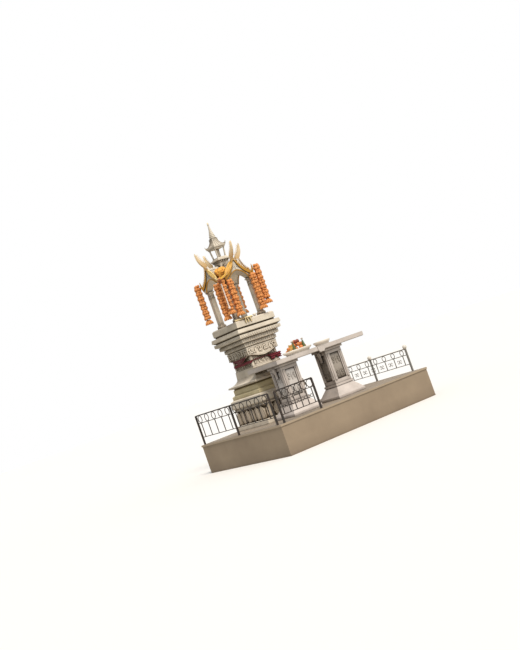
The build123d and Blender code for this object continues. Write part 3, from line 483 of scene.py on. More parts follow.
# Horns: tall gold blades on the gables' tips, cast with them. A crest of seven flames stands on the inner
# curve of each, and a raised spine runs up the outside.
GABLE_RISE, CREST_FLAME, CREST_THICK = 0.45, (0, 0.050, 0.012), 0.015
horn_foot = roof_foot + GABLE_RISE
rise = horn_top - horn_foot
inner = arc((0.045, 0.2 * rise), (-0.039, 0.42 * rise), (-0.118, 0.93 * rise), 9)
for y, z in inner[1:-1]:
    foot = np.array([0, board_front + y, horn_foot + z])
    spine = foot + v * CREST_FLAME + v ** 2 * [0, -0.012, 0.036]
    flames.append(tube(spine, CREST_THICK * (1 - v[:, 0] ** 1.2) + 0.001, 6, across=(1, 0, 0), flat=0.5))
y, z = arc((-0.026, 0.02), (-0.101, 0.36 * rise), (-0.13, 0.985 * rise), 16).T
flames.append(tube(points_at(0, board_front + y, horn_foot + z), np.linspace(0.016, 0.004, 16), 8,
                   across=(1, 0, 0), flat=1.2))
make_piece("gold_flames", quarter_turns(flames), gold_paint)

# Roof: courses of small cast tiles on the eight half slopes, each course cut at the valleys. A course runs
# from the valley, where the distance along the ridge equals the roof's half-width at that height, to the
# gable.
EAVE_HALF, EAVE_RISE, ROOF_RISE, RIDGE_HALF, COURSES, TILE_WIDTH = 0.339, 0.06, 0.40, 0.03, 10, 0.04
TILE_GAP, TILE_ARCH = 0.001, np.array([-0.004, 0.0, 0.004, 0.0, -0.004])[:, None]
slope = arc((EAVE_HALF, EAVE_RISE), (EAVE_HALF * 0.45, ROOF_RISE * 0.48), (RIDGE_HALF, ROOF_RISE),
            COURSES + 1)
tiles = []
for lower, upper in zip(slope, slope[1:]):
    fall = (lower - upper) / np.linalg.norm(lower - upper)
    normal = np.array([-fall[1], fall[0]])
    normal *= math.copysign(1, normal[1])
    # A tile in section, thick at its lower edge, and five such sections across it, the middle one highest
    section = np.array([lower - 0.006 * normal, lower + 0.010 * normal, (lower + upper) / 2 + 0.008 * normal,
                        upper + 0.002 * normal, upper - 0.006 * normal])
    course = EAVE_HALF - upper[0]
    count = max(2, round(course / TILE_WIDTH))
    for tile in range(count):
        start = upper[0] + course * tile / count + TILE_GAP
        end = upper[0] + course * (tile + 1) / count - TILE_GAP
        across_tile = np.array([start, start, (start + end) / 2, end, end])[:, None]
        points = points_at(section[:, 0] + normal[0] * TILE_ARCH, -across_tile,
                           roof_foot + section[:, 1] + normal[1] * TILE_ARCH)
        ends = points.mean(axis=1, keepdims=True).repeat(5, axis=1)
        points = np.concatenate([ends[:1], points, ends[-1:]])
        tiles += [(points.reshape(-1, 3) * [side, 1, 1], grid_faces(len(points), 5)) for side in (1, -1)]
make_piece("roof_tiles", quarter_turns(tiles), cast_white, smooth=False)

# Crown: the little roof over the lantern is cast with a rib on each hip and three on each slope. The spire
# above it ends in a small knob, which is gilt.
HIP_RIB, SLOPE_RIB, KNOB_HEIGHT = 0.009, 0.006, 0.060
hip = arc((0.140, 0.032), (0.080, 0.0855), (0.058, 0.190), 12)
crown_foot, spire_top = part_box("crown_roof")[0].z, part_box("spire")[1].z
ribs = []
for share in (-1, -0.5, 0, 0.5):
    path = points_at(share * hip[:, 0], -hip[:, 0], crown_foot + hip[:, 1])
    ribs.append(tube(path, HIP_RIB if share == -1 else SLOPE_RIB, 6, across=(1, 0, 0)))
make_piece("crown_ribs", quarter_turns(ribs), cast_white)
u = np.linspace(0, 1, 9)
path = points_at(0, 0, spire_top - KNOB_HEIGHT * (1 - u)) + shrine
make_piece("spire_knob", [tube(path, 0.004 + 0.014 * np.sin(np.pi * u) ** 1.5, 12)], gold_paint)


# Garlands: marigold heads threaded on cotton, tied in hanks to the horns and gables. The heads are packed in
# rings round the thread, with a flared tassel below.
def pompon(rows=7, sides=10):
    """A flower head of radius 1 about Z: a flattened ball. Every other ring of its points swells and dips by
    a fifth, as petals do, and the rings between them are round."""
    latitude = np.linspace(-np.pi / 2, np.pi / 2, rows)[:, None]
    t = np.linspace(0, 2 * np.pi, sides, endpoint=False)
    turn = (np.arange(rows) % 2)[:, None] * np.pi / 2
    r = np.cos(latitude) * (1 + 0.2 * np.cos(sides / 2 * t + turn))
    points = points_at(r * np.cos(t), r * np.sin(t), 0.72 * np.sin(latitude))
    return points.reshape(-1, 3), grid_faces(rows, sides)


def facing_out(points, direction, roll):
    """Points turned about Z by roll, and then so that their Z axis lies along direction."""
    turned = Matrix.Rotation(roll, 3, "Z")
    aimed = Vector(direction).to_track_quat("Z", "Y").to_matrix() @ turned
    return points @ np.array(aimed).T


FLOWER_PITCH, HEAD_SIZE, STRAND_RADIUS, TASSEL_HEIGHT, TASSEL_THREADS = 0.048, 0.033, 0.070, 0.10, 13
BUNCH_TALLEST, KNOT_DROP, KNOT_STRAND_LIMIT = 0.4, 0.075, -0.3
head_points, head_faces = pompon()
draw = np.random.default_rng(7)


def flower_rings(centre, heights, reaches):
    """Rings of heads round an upright axis, one ring at each height, as wide as its reach: the heads of a
    ring lie side by side and face outwards, and every other ring is turned by half a head."""
    blocks, tints = [], []
    for k, (z, reach) in enumerate(zip(heights, reaches)):
        ring = max(5, round(2 * math.pi * (reach - HEAD_SIZE * 0.8) / (HEAD_SIZE * 1.35)))
        dull = draw.uniform(0, 0.4)
        for j in range(ring):
            angle = 2 * math.pi * (j + 0.5 * (k % 2)) / ring + draw.uniform(-0.12, 0.12)
            out = np.array([math.cos(angle), math.sin(angle), draw.uniform(-0.35, 0.25)])
            spot = np.array([centre[0], centre[1], z + draw.uniform(-0.006, 0.006)])
            spot += out * (reach - HEAD_SIZE * 0.72) * [1, 1, 0]
            size = HEAD_SIZE * draw.uniform(0.9, 1.1)
            blocks.append((facing_out(head_points * size, out, draw.uniform(0, 6.28)) + spot, head_faces))
            tints.append(min(1, dull + draw.uniform(0, 0.6)))
    path = points_at(centre[0], centre[1], heights)
    blocks.append(tube(path, np.maximum(np.array(reaches) - HEAD_SIZE, 0.004), 10))
    return blocks, tints + [0.0]


def strand(lowest, highest):
    """A hanging hank in a box: rings 48 mm apart, every other one a sixth narrower, and a flared tassel whose
    threads spread as the square root of the way down."""
    centre = (lowest + highest) / 2
    heights = np.arange(highest[2] - FLOWER_PITCH / 2, lowest[2] + TASSEL_HEIGHT, -FLOWER_PITCH)
    reaches = STRAND_RADIUS * np.where(np.arange(len(heights)) % 2, 1.0, 0.84)
    blocks, tints = flower_rings(centre, heights, reaches)
    u = np.linspace(0, 1, 7)
    for angle in 2 * math.pi * np.arange(TASSEL_THREADS) / TASSEL_THREADS:
        spread = 0.012 + (STRAND_RADIUS - 0.008) * u ** 0.5
        path = points_at(centre[0] + spread * math.cos(angle), centre[1] + spread * math.sin(angle),
                         lowest[2] + TASSEL_HEIGHT * (0.97 - 0.92 * u))
        blocks.append(tube(path, 0.007 + 0.009 * np.sin(np.pi * u ** 1.6), 6))
        tints.append(draw.uniform(0.5, 1.0))
    return blocks, tints


def flower_heads(name, deep, light, rim, gap_shade):
    """Packed flower heads: each has its own tone between deep and light, a fine noise lays a paler colour on
    the petal rims as a painted highlight, and painted shade darkens the closed-in gaps between heads most.
    The same noise ruffles the surface."""
    material, tree, shader = principled(name, 0.75)
    tint = add(tree, "Attribute", attribute_name="tint").outputs["Fac"]
    place = add(tree, "TexCoord").outputs["Object"]
    ruffle = add(tree, "TexNoise", {"Vector": place, "Scale": 130, "Detail": 3}).outputs["Fac"]
    between = add(tree, "AmbientOcclusion", {"Distance": 0.03}, samples=8).outputs["AO"]
    shade = add(tree, "Mix", {0: tint, 6: linear(deep), 7: linear(light)}, data_type="RGBA").outputs[2]
    lit = add(tree, "Mix", {0: ruffle, 6: shade, 7: linear(rim)}, data_type="RGBA").outputs[2]
    colour = laid_over(tree, lit, linear(gap_shade), between, 0.85, 0.3)
    bump = add(tree, "Bump", {"Height": ruffle, "Strength": 0.7, "Distance": 0.005}).outputs["Normal"]
    tree.links.new(colour, shader.inputs["Base Color"])
    tree.links.new(bump, shader.inputs["Normal"])
    return material


def solid_boxes(name):
    """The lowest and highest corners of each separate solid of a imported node."""
    work = bmesh.new()
    work.from_mesh(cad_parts[name].data)
    bmesh.ops.remove_doubles(work, verts=work.verts, dist=1e-5)
    left, boxes = set(work.verts), []
    while left:
        island, edge = set(), [next(iter(left))]
        while edge:
            vertex = edge.pop()
            if vertex not in island:
                island.add(vertex)
                edge += [e.other_vert(vertex) for e in vertex.link_edges]
        left -= island
        spots = np.array([v.co for v in island])
        boxes.append((spots.min(0), spots.max(0)))
    work.free()
    return sorted(boxes, key=lambda b: tuple(np.round(b[0], 4)))


marigold = flower_heads("orange_marigold_heads", "#cc6322", "#e38f44", "#f2b06c", "#702e0c")
for node in ("garlands_front", "garlands_right", "garland_left", "garland_back"):
    blocks, tints = [], []
    for lowest, highest in solid_boxes(node):
        if highest[2] - lowest[2] > BUNCH_TALLEST:
            # The front corner's strand is tied under the sash's knot, below the bunch
            at_knot = node == "garlands_front" and max(highest[:2] - shrine[:2]) < KNOT_STRAND_LIMIT
            if at_knot:
                corner_low, corner_high = lowest, highest
            more, more_tints = strand(lowest, highest - [0, 0, KNOT_DROP * at_knot])
            blocks += more
            tints += more_tints
        else:
            bunch_low, bunch_high = lowest, highest
    piece = make_piece(node + "_flowers", blocks, marigold, tints=tints)
    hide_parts(node)

# Bunch: a ball of golden marigolds tied in the roof's valley, above the front corner. Its rings widen upwards
# and then close, and a crown of five heads fills the top.
BUNCH_SHARES, CROWN_HEADS, CROWN_RADIUS, CROWN_DROP = (0.45, 0.62, 0.8, 0.95, 1.0, 0.84), 5, 0.036, 0.034
golden = flower_heads("golden_marigold_heads", "#fa9428", "#ffb244", "#ffcc68", "#b4560c")
axis = (bunch_low + bunch_high) / 2 * [1, 1, 0]
heights = np.linspace(bunch_low[2] + 0.05, bunch_high[2] - 0.03, len(BUNCH_SHARES))
blocks, tints = flower_rings(axis, heights, (bunch_high[0] - bunch_low[0]) / 2 * np.array(BUNCH_SHARES))
for angle in 2 * math.pi * np.arange(CROWN_HEADS) / CROWN_HEADS:
    spot = axis + [CROWN_RADIUS * math.cos(angle), CROWN_RADIUS * math.sin(angle), bunch_high[2] - CROWN_DROP]
    blocks.append((head_points * HEAD_SIZE + spot, head_faces))
    tints.append(draw.uniform(0.3, 0.9))
piece = make_piece("roof_bunch_flowers", blocks, golden, tints=tints)
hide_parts("garlands_front")

# Jasmine: a string of white buds, threaded on cotton, that hangs down the outside of the front corner's
# strand, with three open flowers at its end.
BUD_SIZE, BUD_PITCH, END_HEAD_SIZE, STRING_OUT = 0.0125, 0.020, 0.019, 0.056
STRING_FROM_TOP, STRING_FROM_FOOT, END_FROM_FOOT = 0.20, 0.16, 0.145
jasmine = flower_heads("jasmine_buds", "#e9cdbf", "#fbf0e6", "#fff6ee", "#b98a78")
outside = (corner_low + corner_high) / 2 * [1, 1, 0] - [STRING_OUT, STRING_OUT, 0]
blocks, tints = [], []
for z in np.arange(corner_high[2] - STRING_FROM_TOP, corner_low[2] + STRING_FROM_FOOT, -BUD_PITCH):
    size = BUD_SIZE * draw.uniform(0.9, 1.1)
    bud = facing_out(head_points * size, (-1, -1, -0.4), draw.uniform(0, 6.28))
    blocks.append((bud + outside + [0, 0, z], head_faces))
    tints.append(draw.uniform(0.4, 1.0))
for k in range(3):
    c, s = math.cos(2 * math.pi * k / 3), math.sin(2 * math.pi * k / 3)
    spot = outside + [0.006 * c, 0.006 * s, corner_low[2] + END_FROM_FOOT - 0.012 * k]
    blocks.append((facing_out(head_points * END_HEAD_SIZE, (c - 1, s - 1, 0), 0) + spot, head_faces))
    tints.append(0.0)
make_piece("jasmine_string", blocks, jasmine, tints=tints)


# Sash: a band of yellow satin, gathered into folds along its length and tied over each rake that meets the
# front corner. Satin shows long highlights along its folds; the west limb is a paler copy of the satin, as
# painted light, and the knot is a darker copy, as painted shade.
def cloth(name, thread, deep, roughness, sheen, thread_mm):
    """Woven cloth on its own UV map, in metres: a fine wave along each thread in the bump, drawn coarser than
    the real thread so that it shows, a deeper colour as painted shade where folds close in, and worn patches."""
    material, tree, shader = principled(name, roughness)
    flat = add(tree, "UVMap").outputs[0]
    shader.inputs["Sheen Weight"].default_value = sheen
    shader.inputs["Sheen Roughness"].default_value = 0.4
    mottle = add(tree, "TexNoise", {"Vector": flat, "Scale": 30, "Detail": 4}).outputs["Fac"]
    open_share = add(tree, "AmbientOcclusion", {"Distance": 0.02}, samples=8).outputs["AO"]
    fold, worn = (
        add(tree, "MapRange", {
            "Value": value, "From Min": none_at, "From Max": full_at, "To Max": most}).outputs[0]
        for value, none_at, full_at, most in ((open_share, 0.95, 0.3, 0.8), (mottle, 0.4, 0.8, 0.25)))
    part = add(tree, "Math", {0: fold, 1: worn}, operation="ADD", use_clamp=True).outputs[0]
    colour = add(tree, "Mix", {0: part, 6: linear(thread), 7: linear(deep)}, data_type="RGBA").outputs[2]
    weave = add(tree, "TexWave", {
        "Vector": flat, "Scale": 1000 / thread_mm / 6.283, "Distortion": 0.4}, bands_direction="DIAGONAL")
    bump = add(tree, "Bump", {"Height": weave.outputs["Fac"], "Strength": 0.25, "Distance": 0.002})
    tree.links.new(colour, shader.inputs["Base Color"])
    tree.links.new(bump.outputs[0], shader.inputs["Normal"])
    return material


def cloth_piece(name, points, size, material, thickness=0.0016):
    """A sheet from a grid of points, rows along its length, with a UV map of its flat size in metres and a
    Solidify modifier for its thickness."""
    rows, columns = points.shape[:2]
    faces = grid_faces(rows, columns, loop=False)
    mesh = bpy.data.meshes.new(name)
    mesh.from_pydata(points.reshape(-1, 3).tolist(), [], faces.tolist())
    v, u = np.meshgrid(np.linspace(0, size[1], rows), np.linspace(0, size[0], columns), indexing="ij")
    flat = np.stack([u, v], axis=-1).reshape(-1, 2)
    layer = mesh.uv_layers.new(name="UVMap")
    layer.data.foreach_set("uv", flat[faces.reshape(-1)].astype(np.float32).reshape(-1))
    mesh.shade_smooth()
    mesh.materials.append(material)
    piece = show(name, mesh)
    thick = piece.modifiers.new("thickness", "SOLIDIFY")
    thick.thickness, thick.offset = thickness, 0.0
    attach(piece, "root")
    return piece


SASH_HALF, SASH_FOLDS, SASH_INSET, FOLD_DEPTH = 0.048, 4.5, 0.036, 0.0135
STRAND_PITCH, STRAND_THICK = 0.013, 0.010
yellow_satin = cloth("yellow_satin", "#f2ba3c", "#95600f", 0.36, 0.35, 6)
# A paler copy of the satin for the west limb: painted light
satin_painted_lit = cloth("satin_with_painted_light", "#ffe08c", "#d09030", 0.36, 0.6, 6)
# A darker copy of the satin for the knot: painted shade
knot_satin_painted_shade = cloth("knot_satin_painted_shade", "#8e4a06", "#5e2c04", 0.4, 0.1, 6)
limbs = {"south": None, "west": None}
for lowest, highest in solid_boxes("corner_sash"):
    extent = highest - lowest
    side = "south" if extent[1] < extent[0] / 2 else "west" if extent[0] < extent[1] / 2 else "knot"
    limbs[side] = (lowest - shrine, highest - shrine)
knot = sum(limbs.pop("knot")) / 2
u, v, t = np.linspace(0, 1, 40)[:, None], np.linspace(0, 1, 49)[None, :], np.linspace(0, 1, 14)[:, None]
for side, (lowest, highest) in limbs.items():
    # The west limb is worked out as the south one, with x and y changed over
    order = [1, 0, 2] if side == "west" else [0, 1, 2]
    lowest, highest = lowest[order], highest[order]
    start, end = highest[[0, 2]] - SASH_INSET, lowest[[0, 2]] + SASH_INSET
    run = end - start
    square = np.array([-run[1], run[0]]) / np.linalg.norm(run)
    spread = (v - 0.5) * 2 * SASH_HALF * (1 - 0.62 * u ** 6 - 0.4 * (1 - u) ** 8)
    # Each fold rises slowly and falls fast, so that its broad side faces the light
    phase = 2 * np.pi * SASH_FOLDS * v + 0.8 * np.sin(4 * u + 3 * v)
    folds = 0.5 - 0.5 * np.cos(phase - 0.6 * (1 - np.cos(phase)))
    slack = 0.72 + 0.16 * np.sin(7 * u + 5 * v) + 0.12 * np.sin(13 * v - 4 * u + 1)
    x, z = (start[i] + run[i] * u + square[i] * spread for i in (0, 1))
    points = points_at(x, highest[1] - 0.002 - FOLD_DEPTH * folds * slack, z)[..., order] + shrine
    # The west limb takes the paler copy of the satin, as painted light
    satin = satin_painted_lit if side == "west" else yellow_satin
    sash = cloth_piece("sash_" + side, points, (0.13, 0.33), satin)
    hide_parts("corner_sash")
    # From the limb's lower end the cloth is drawn into strands that run round the garland to the knot
    drawn = []
    for lift in (-STRAND_PITCH, 0, STRAND_PITCH):
        first = np.array([end[0] + 0.028, highest[1] - 0.009, end[1] + 0.022 + lift])
        last = np.array([knot[0] + 0.010, knot[1], knot[2] + lift * 0.6])
        bend = np.array([first[0] * 0.3 + last[0] * 0.7, last[1] - 0.036, first[2] * 0.4 + last[2] * 0.6])
        path = (1 - t) ** 2 * first + 2 * t * (1 - t) * bend + t ** 2 * last
        drawn.append(tube(path[:, order] + shrine, STRAND_THICK, 8, across=(0, 0, 1)))
    rope = make_piece("sash_strands_" + side, drawn, satin)


def wound_knot(centre, axis, size, turns, thick):
    """A tight knot: a strand wound round a level axis as size * (cos t * side + 0.85 sin t * up), which
    drifts along the axis and sways a little with each turn."""
    axis = np.array(axis, float)
    side = np.cross(axis, [0, 0, 1])
    t = np.linspace(0, 2 * np.pi * turns, int(20 * turns))[:, None]
    drift = size * 0.7 * (1 - 2 * t / t[-1]) + size * 0.35 * np.sin(1.5 * t)
    turning = side * np.cos(t) + np.array([0, 0, 0.85]) * np.sin(t)
    return tube(np.array(centre) + axis * drift * 0.6 + size * turning, thick, 8, across=axis)


half_way = math.sqrt(0.5)
knot_at = knot + shrine - [0.016, 0.016, 0.030]
windings = [wound_knot(knot_at, (half_way, -half_way, 0), 0.036, 3.3, 0.014),
            wound_knot(knot_at - [0.006, 0.006, 0], (half_way, half_way, 0), 0.022, 2.3, 0.013)]
piece = make_piece("sash_knot", windings, knot_satin_painted_shade)
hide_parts("corner_sash")

# Red cloth: a length of thin dark red cotton, twisted into a band and tied round the neck in a loose bow at
# the right of the south face. Left of the bow it is drawn into a thin cord.
BAND_HEIGHT, BAND_STAND_OFF, BAND_TURN, BAND_POINTS, BAND_FOLD = 0.050, 0.0095, 0.012, 40, 0.0045
BOW_LEFT, DRAWN_SHARE = 0.12, 0.72
red_cotton = cloth("dark_red_cotton", "#7d1826", "#2a060c", 0.85, 0.3, 5)
(swag_low, swag_high), (tied_low, tied_high) = sorted(solid_boxes("neck_cloth"), key=lambda box: box[1][0])
tied_low, tied_high = tied_low - shrine, tied_high - shrine
band_top, band_half = tied_high[2], neck_half + BAND_STAND_OFF
a = (np.arange(4) * math.pi / 2)[:, None]
along = np.linspace(BAND_TURN - band_half, band_half - BAND_TURN, BAND_POINTS)
ring = points_at(np.cos(a) * along + np.sin(a) * band_half, np.sin(a) * along - np.cos(a) * band_half, 0)
outwards = points_at(np.sin(a).repeat(BAND_POINTS, axis=1), -np.cos(a), 0)
ring, outwards = (np.vstack([rows.reshape(-1, 3), rows[0, :1]]) for rows in (ring, outwards))
v = np.linspace(0, 1, 17)[None, :]
step = np.arange(len(ring))[:, None]
fold = BAND_FOLD * np.cos(2 * np.pi * 2 * v + 0.25 * step)
points = ring[:, None] + outwards[:, None] * fold[..., None] + shrine
# Band and cord change over as half a cosine wave, at the bow and at the west corner
drawn_in = (outwards[:, 1] < -0.5) * np.clip((BOW_LEFT - ring[:, 0]) / 0.05, 0, 1)
drawn_in = (drawn_in * np.clip((ring[:, 0] + band_half) / 0.04, 0, 1))[:, None]
drawn_in = 0.5 - 0.5 * np.cos(np.pi * drawn_in)
points[..., 2] = band_top - 0.002 - (BAND_HEIGHT - 0.004) * v * (1 - DRAWN_SHARE * drawn_in)
points[..., 2] += 0.002 * np.sin(0.3 * step) * (1 - drawn_in)
ring_length = 8 * band_half
band = cloth_piece("neck_band", points, (0.06, ring_length), red_cotton)
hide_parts("neck_cloth")

# Bow: the band's two ends, spread on both sides of a small tight knot, which pinches them. Its folds are
# waves that run across and bend downwards at the ends.
BOW_WIDTH, BOW_THICKNESS, BOW_DROP, PINCH = 0.270, 0.040, 0.115, 0.24
bow_x, bow_y = tied_high[0] - BOW_WIDTH / 2, tied_low[1] + BOW_THICKNESS / 2
u, v = np.linspace(0, 1, 40)[:, None], np.linspace(-1, 1, 65)[None, :]
pinch = np.exp(-(v / PINCH) ** 2)
x = bow_x + v * (BOW_WIDTH / 2 - 0.004) * (1 - 0.10 * u)
y = bow_y - (0.005 + 0.012 * np.abs(v) ** 0.7) * np.cos(2 * np.pi * (2.6 * u + 0.4 * v ** 2) + 0.9 * v)
z = band_top - 0.004 - (BOW_DROP - 0.008) * (u * (1 - 0.62 * pinch) + 0.08 * pinch)
bow = cloth_piece("neck_bow", points_at(x, y, z) + shrine, (0.34, BOW_DROP), red_cotton)
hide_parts("neck_cloth")
bow_knot = wound_knot(shrine + [bow_x, bow_y, band_top - 0.033], (0, 1, 0), 0.016, 2.3, 0.008)
bow_turns = make_piece("neck_bow_knot", [bow_knot], red_cotton)

# Swag: a second length of the same cotton over the apron's edge on the west. It hangs from two gathered ends,
# in folds that are parabolas and deepen downwards.
SWAG_SAG, SWAG_DEEPER, SWAG_FOLDS, SWAG_FOLD = 0.018, 0.080, 3.5, 0.0075
swag_middle, swag_half = (swag_high + swag_low) / 2, (swag_high[1] - swag_low[1]) / 2
u, v = np.linspace(0, 1, 33)[:, None], np.linspace(-1, 1, 61)[None, :]
fold = np.cos(2 * np.pi * SWAG_FOLDS * u + 0.6 * v) * (1 - 0.6 * v ** 4)
sag = (1 - v ** 2) * (SWAG_SAG + SWAG_DEEPER * u ** 0.8) + 0.009 * u * v ** 4
y = swag_middle[1] + v * (swag_half - 0.004) * (1 - 0.10 * u)
points = points_at(swag_middle[0] - SWAG_FOLD * fold, y, swag_high[2] - 0.004 - sag)
swag = cloth_piece("apron_swag", points, (0.58, 0.09), red_cotton)
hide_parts("neck_cloth")

# Table: slab and legs cast in white cement with marble chips, and ground smooth. The slab lies on the legs by
# its weight. The chips are 3 mm across in fact, and drawn 12 mm across so that they show.
CHIP_MM = 12.5
# Dirt and painted shade darken its closed-in corners, and painted shade its west faces
chip_stone, tree, shader, place, colour = weathered(
    "white_cement_cast_with_chips", "#d7cdc5", "#625850", 0.5, grime_and_shade=1.1, streak=0.2, patch_mm=250,
    west_shade=0.3)
chips = add(tree, "TexVoronoi", {"Vector": place, "Scale": 1000 / CHIP_MM, "Randomness": 1.0})
colour = laid_over(tree, colour, linear("#9c8f7c"), chips.outputs["Distance"], 0.28, 0.12, 0.22)
tree.links.new(colour, shader.inputs["Base Color"])
dress(chip_stone, "table_slab", "near_leg", "far_leg")

# Leg panels: foliage cast in each recess of the legs and painted, grey on the near leg and taupe on the far
# one. A colonette with a thick head and foot stands on each side of a panel.
LEG_FACES = ((0.190, 0.170, (0, 2)), (0.170, 0.190, (1, 3)))
PANEL_FROM_FOOT, PANEL_FROM_TOP, PANEL_SHARE, PANEL_ROWS = 0.340, 0.110, 0.56, 2
LEG_PAINTS = (("near_leg", "grey", "#e8e2dc", 1.2), ("far_leg", "taupe", "#a89f94", 1.6))
for name, finish, paint, grime_and_shade in LEG_PAINTS:
    # Dirt and painted shade darken the relief's hollows, and painted shade its west faces
    panel_paint = weathered(finish + "_painted_relief", paint, "#4d443a", 0.75, grime_and_shade=grime_and_shade, streak=0.2,
                            crevice_mm=40)[0]
    low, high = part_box(name)
    foot, top = low.z + PANEL_FROM_FOOT, high.z - PANEL_FROM_TOP
    row_height = (top - foot) / PANEL_ROWS
    relief, posts = [], []
    for half, wall, turns in LEG_FACES:
        panel_half = half * PANEL_SHARE
        # A thin ground lies behind the foliage
        ground = points_at(0, 0.0125 - wall, np.linspace(foot + 0.004, top - 0.004, 5))
        carved = [tube(ground, panel_half - 0.003, 16, flat=0.003 / panel_half)]
        for k in range(PANEL_ROWS):
            carved += scrollwork(0, 0.013 - wall, foot + k * row_height + 0.012, 2 * panel_half - 0.03,
                                 row_height - 0.024, 0.015)
        u = np.linspace(0, 1, 24)
        uprights = [tube(points_at(sign * (panel_half + half) / 2, -wall, foot + (top - foot) * u),
                         0.017 + 0.006 * (np.abs(2 * u - 1) > 0.86), 8, flat=0.7) for sign in (-1, 1)]
        relief += quarter_turns(carved, turns, upright_axis(name))
        posts += quarter_turns(uprights, turns, upright_axis(name))
    make_piece(name + "_foliage", relief, panel_paint)
    make_piece(name + "_colonettes", posts, chip_stone)


# Rails: bars of wrought iron, painted black at the front and left and grey at the right, with flat scrolls
# bent hot and welded between the uprights. Paint has gone at the joints, where rust shows.
def c_scroll(x, z, size, sign):
    """A bar wound as a C about (x, z). Its direction turns as 2.2 u + 1.6 u**3, so both ends curl inwards."""
    u = np.linspace(-1, 1, 25)
    angle = 2.2 * u + 1.6 * u ** 3
    path = np.cumsum(np.stack([np.sin(angle) * sign, np.cos(angle)], axis=-1), axis=0)
    return (path - path[12]) * size / 8 + [x, z]


LOWEST_BAR, BALL_HEIGHT, SCROLL_THICK, SCROLL_GAP, SCROLL_TALLEST = 0.14, 0.08, 0.0055, 0.007, 0.055
RUSTED = dict(dirt_and_shade="#5a3a24", roughness=0.5, metallic=0.2, grime_and_shade=0.35, streak=0.15, patch_mm=120,
              west_shade=0.0)
black_iron = weathered("black_painted_iron", "#33312f", **RUSTED)[0]
grey_iron, tree, shader, place, colour = weathered("grey_painted_iron", "#8b8b87", **RUSTED)
# The grey rail's balls, which stand above its top bar, are painted white
height = add(tree, "SeparateXYZ", {0: place}).outputs["Z"]
on_ball = add(tree, "Math", {0: height, 1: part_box("rail_right")[1].z - BALL_HEIGHT},
              operation="GREATER_THAN").outputs[0]
colour = add(tree, "Mix", {0: on_ball, 6: colour, 7: linear("#ded8cd")}, data_type="RGBA").outputs[2]
tree.links.new(colour, shader.inputs["Base Color"])
dress(black_iron, "rail_front", "rail_left")
dress(grey_iron, "rail_right")

for node, iron, slot, along, count, rail_height, end_gap in (
        ("rail_front", black_iron, "black_iron", 0, 6, 0.57, 0.015),
        ("rail_right", grey_iron, "grey_iron", 1, 8, 0.45, 0.042)):
    low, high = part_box(node)
    start, end = low[along] + end_gap, high[along] - end_gap
    plane = (low[1 - along] + high[1 - along]) / 2
    pitch = (end - start) / count
    middle = low.z + (LOWEST_BAR + rail_height * 0.72) / 2
    size = min(SCROLL_TALLEST, pitch * 0.34)
    scrolls = []
    for k in range(1, count):
        for sign in (-1, 1):
            run, z = c_scroll(start + k * pitch + sign * SCROLL_GAP, middle, size, sign).T
            path = points_at(plane, run, z) if along else points_at(run, plane, z)
            scrolls.append(tube(path, SCROLL_THICK, 6, across=(1, 0, 0) if along else (0, 1, 0)))
    make_piece(node + "_scrolls", scrolls, iron)

# Trays: two broad-footed dishes of white glazed ware, thrown on a wheel, with a rolled rim and a flat inside.
# The glaze is glossy and a little cloudy. The profile is in shares of a dish's half-width and height.
DISH = ((0.0, 0.0), (0.79, 0.0), (0.80, 0.04), (0.81, 0.22), (0.86, 0.36), (0.95, 0.56), (0.995, 0.74),
        (1.0, 0.94), (0.985, 1.0), (0.955, 0.99), (0.90, 0.84), (0.80, 0.67), (0.0, 0.63))


def thrown(profile, middle, foot, halves, height, sides):
    """A ware turned on a wheel: each ring of the profile is (share * cos t, share * sin t) at its rise."""
    share, rise = np.array(profile).T[..., None]
    t = np.linspace(0, 2 * np.pi, sides, endpoint=False)
    points = points_at(middle[0] + halves[0] * share * np.cos(t), middle[1] + halves[1] * share * np.sin(t),
                       foot + height * rise)
    return [(points.reshape(-1, 3), grid_faces(len(profile), sides))]


glaze, tree, shader = principled("white_glazed_ware", 0.14)
place = add(tree, "TexCoord").outputs["Object"]
cloud = add(tree, "TexNoise", {"Vector": place, "Scale": 18, "Detail": 3}).outputs["Fac"]
tone = add(tree, "Mix", {0: cloud, 6: linear("#f4efe4"), 7: linear("#ddd3c0")}, data_type="RGBA")
tree.links.new(tone.outputs[2], shader.inputs["Base Color"])
for node in ("tray_near", "tray_far"):
    low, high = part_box(node)
    ware = thrown(DISH, (low + high) / 2, low.z, (high - low) / 2, high.z - low.z, 48)
    dish = make_piece(node + "_dish", ware, glaze)
    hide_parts(node)

# Offerings: a heap of oranges, a hand of bananas, cones of folded leaf topped with flowers, and round fruit.
# All share one waxy skin, which is mottled brown and takes its colour from the tint of each item.
ORANGE, BANANA, LEAF_CONE, BLOSSOM, RED_FRUIT = 0.1, 0.4, 0.6, 0.8, 0.95
HEAP_HALF_X, HEAP_HALF_Y, ORANGE_SIZE, HEAP_SHIFT = 0.220, 0.128, 0.039, 0.03
fruit_skin, tree, shader = principled("fruit_and_leaf", 0.45)
tint = add(tree, "Attribute", attribute_name="tint").outputs["Fac"]
ramp = add(tree, "ValToRGB", {"Fac": tint})
ramp.color_ramp.interpolation = "CONSTANT"
ramp.color_ramp.elements[0].color, ramp.color_ramp.elements[1].position = linear("#d98546"), 0.3
ramp.color_ramp.elements[1].color = linear("#c9a04e")
for position, code in ((0.5, "#55653a"), (0.7, "#e8dccb"), (0.9, "#8a3d2a")):
    ramp.color_ramp.elements.new(position).color = linear(code)
place = add(tree, "TexCoord").outputs["Object"]
peel = add(tree, "TexNoise", {"Vector": place, "Scale": 260, "Detail": 2}).outputs["Fac"]
mottle = add(tree, "TexNoise", {"Vector": place, "Scale": 22, "Detail": 4}).outputs["Fac"]
colour = laid_over(tree, ramp.outputs[0], linear("#5b3414"), mottle, 0.5, 0.75, 0.45)
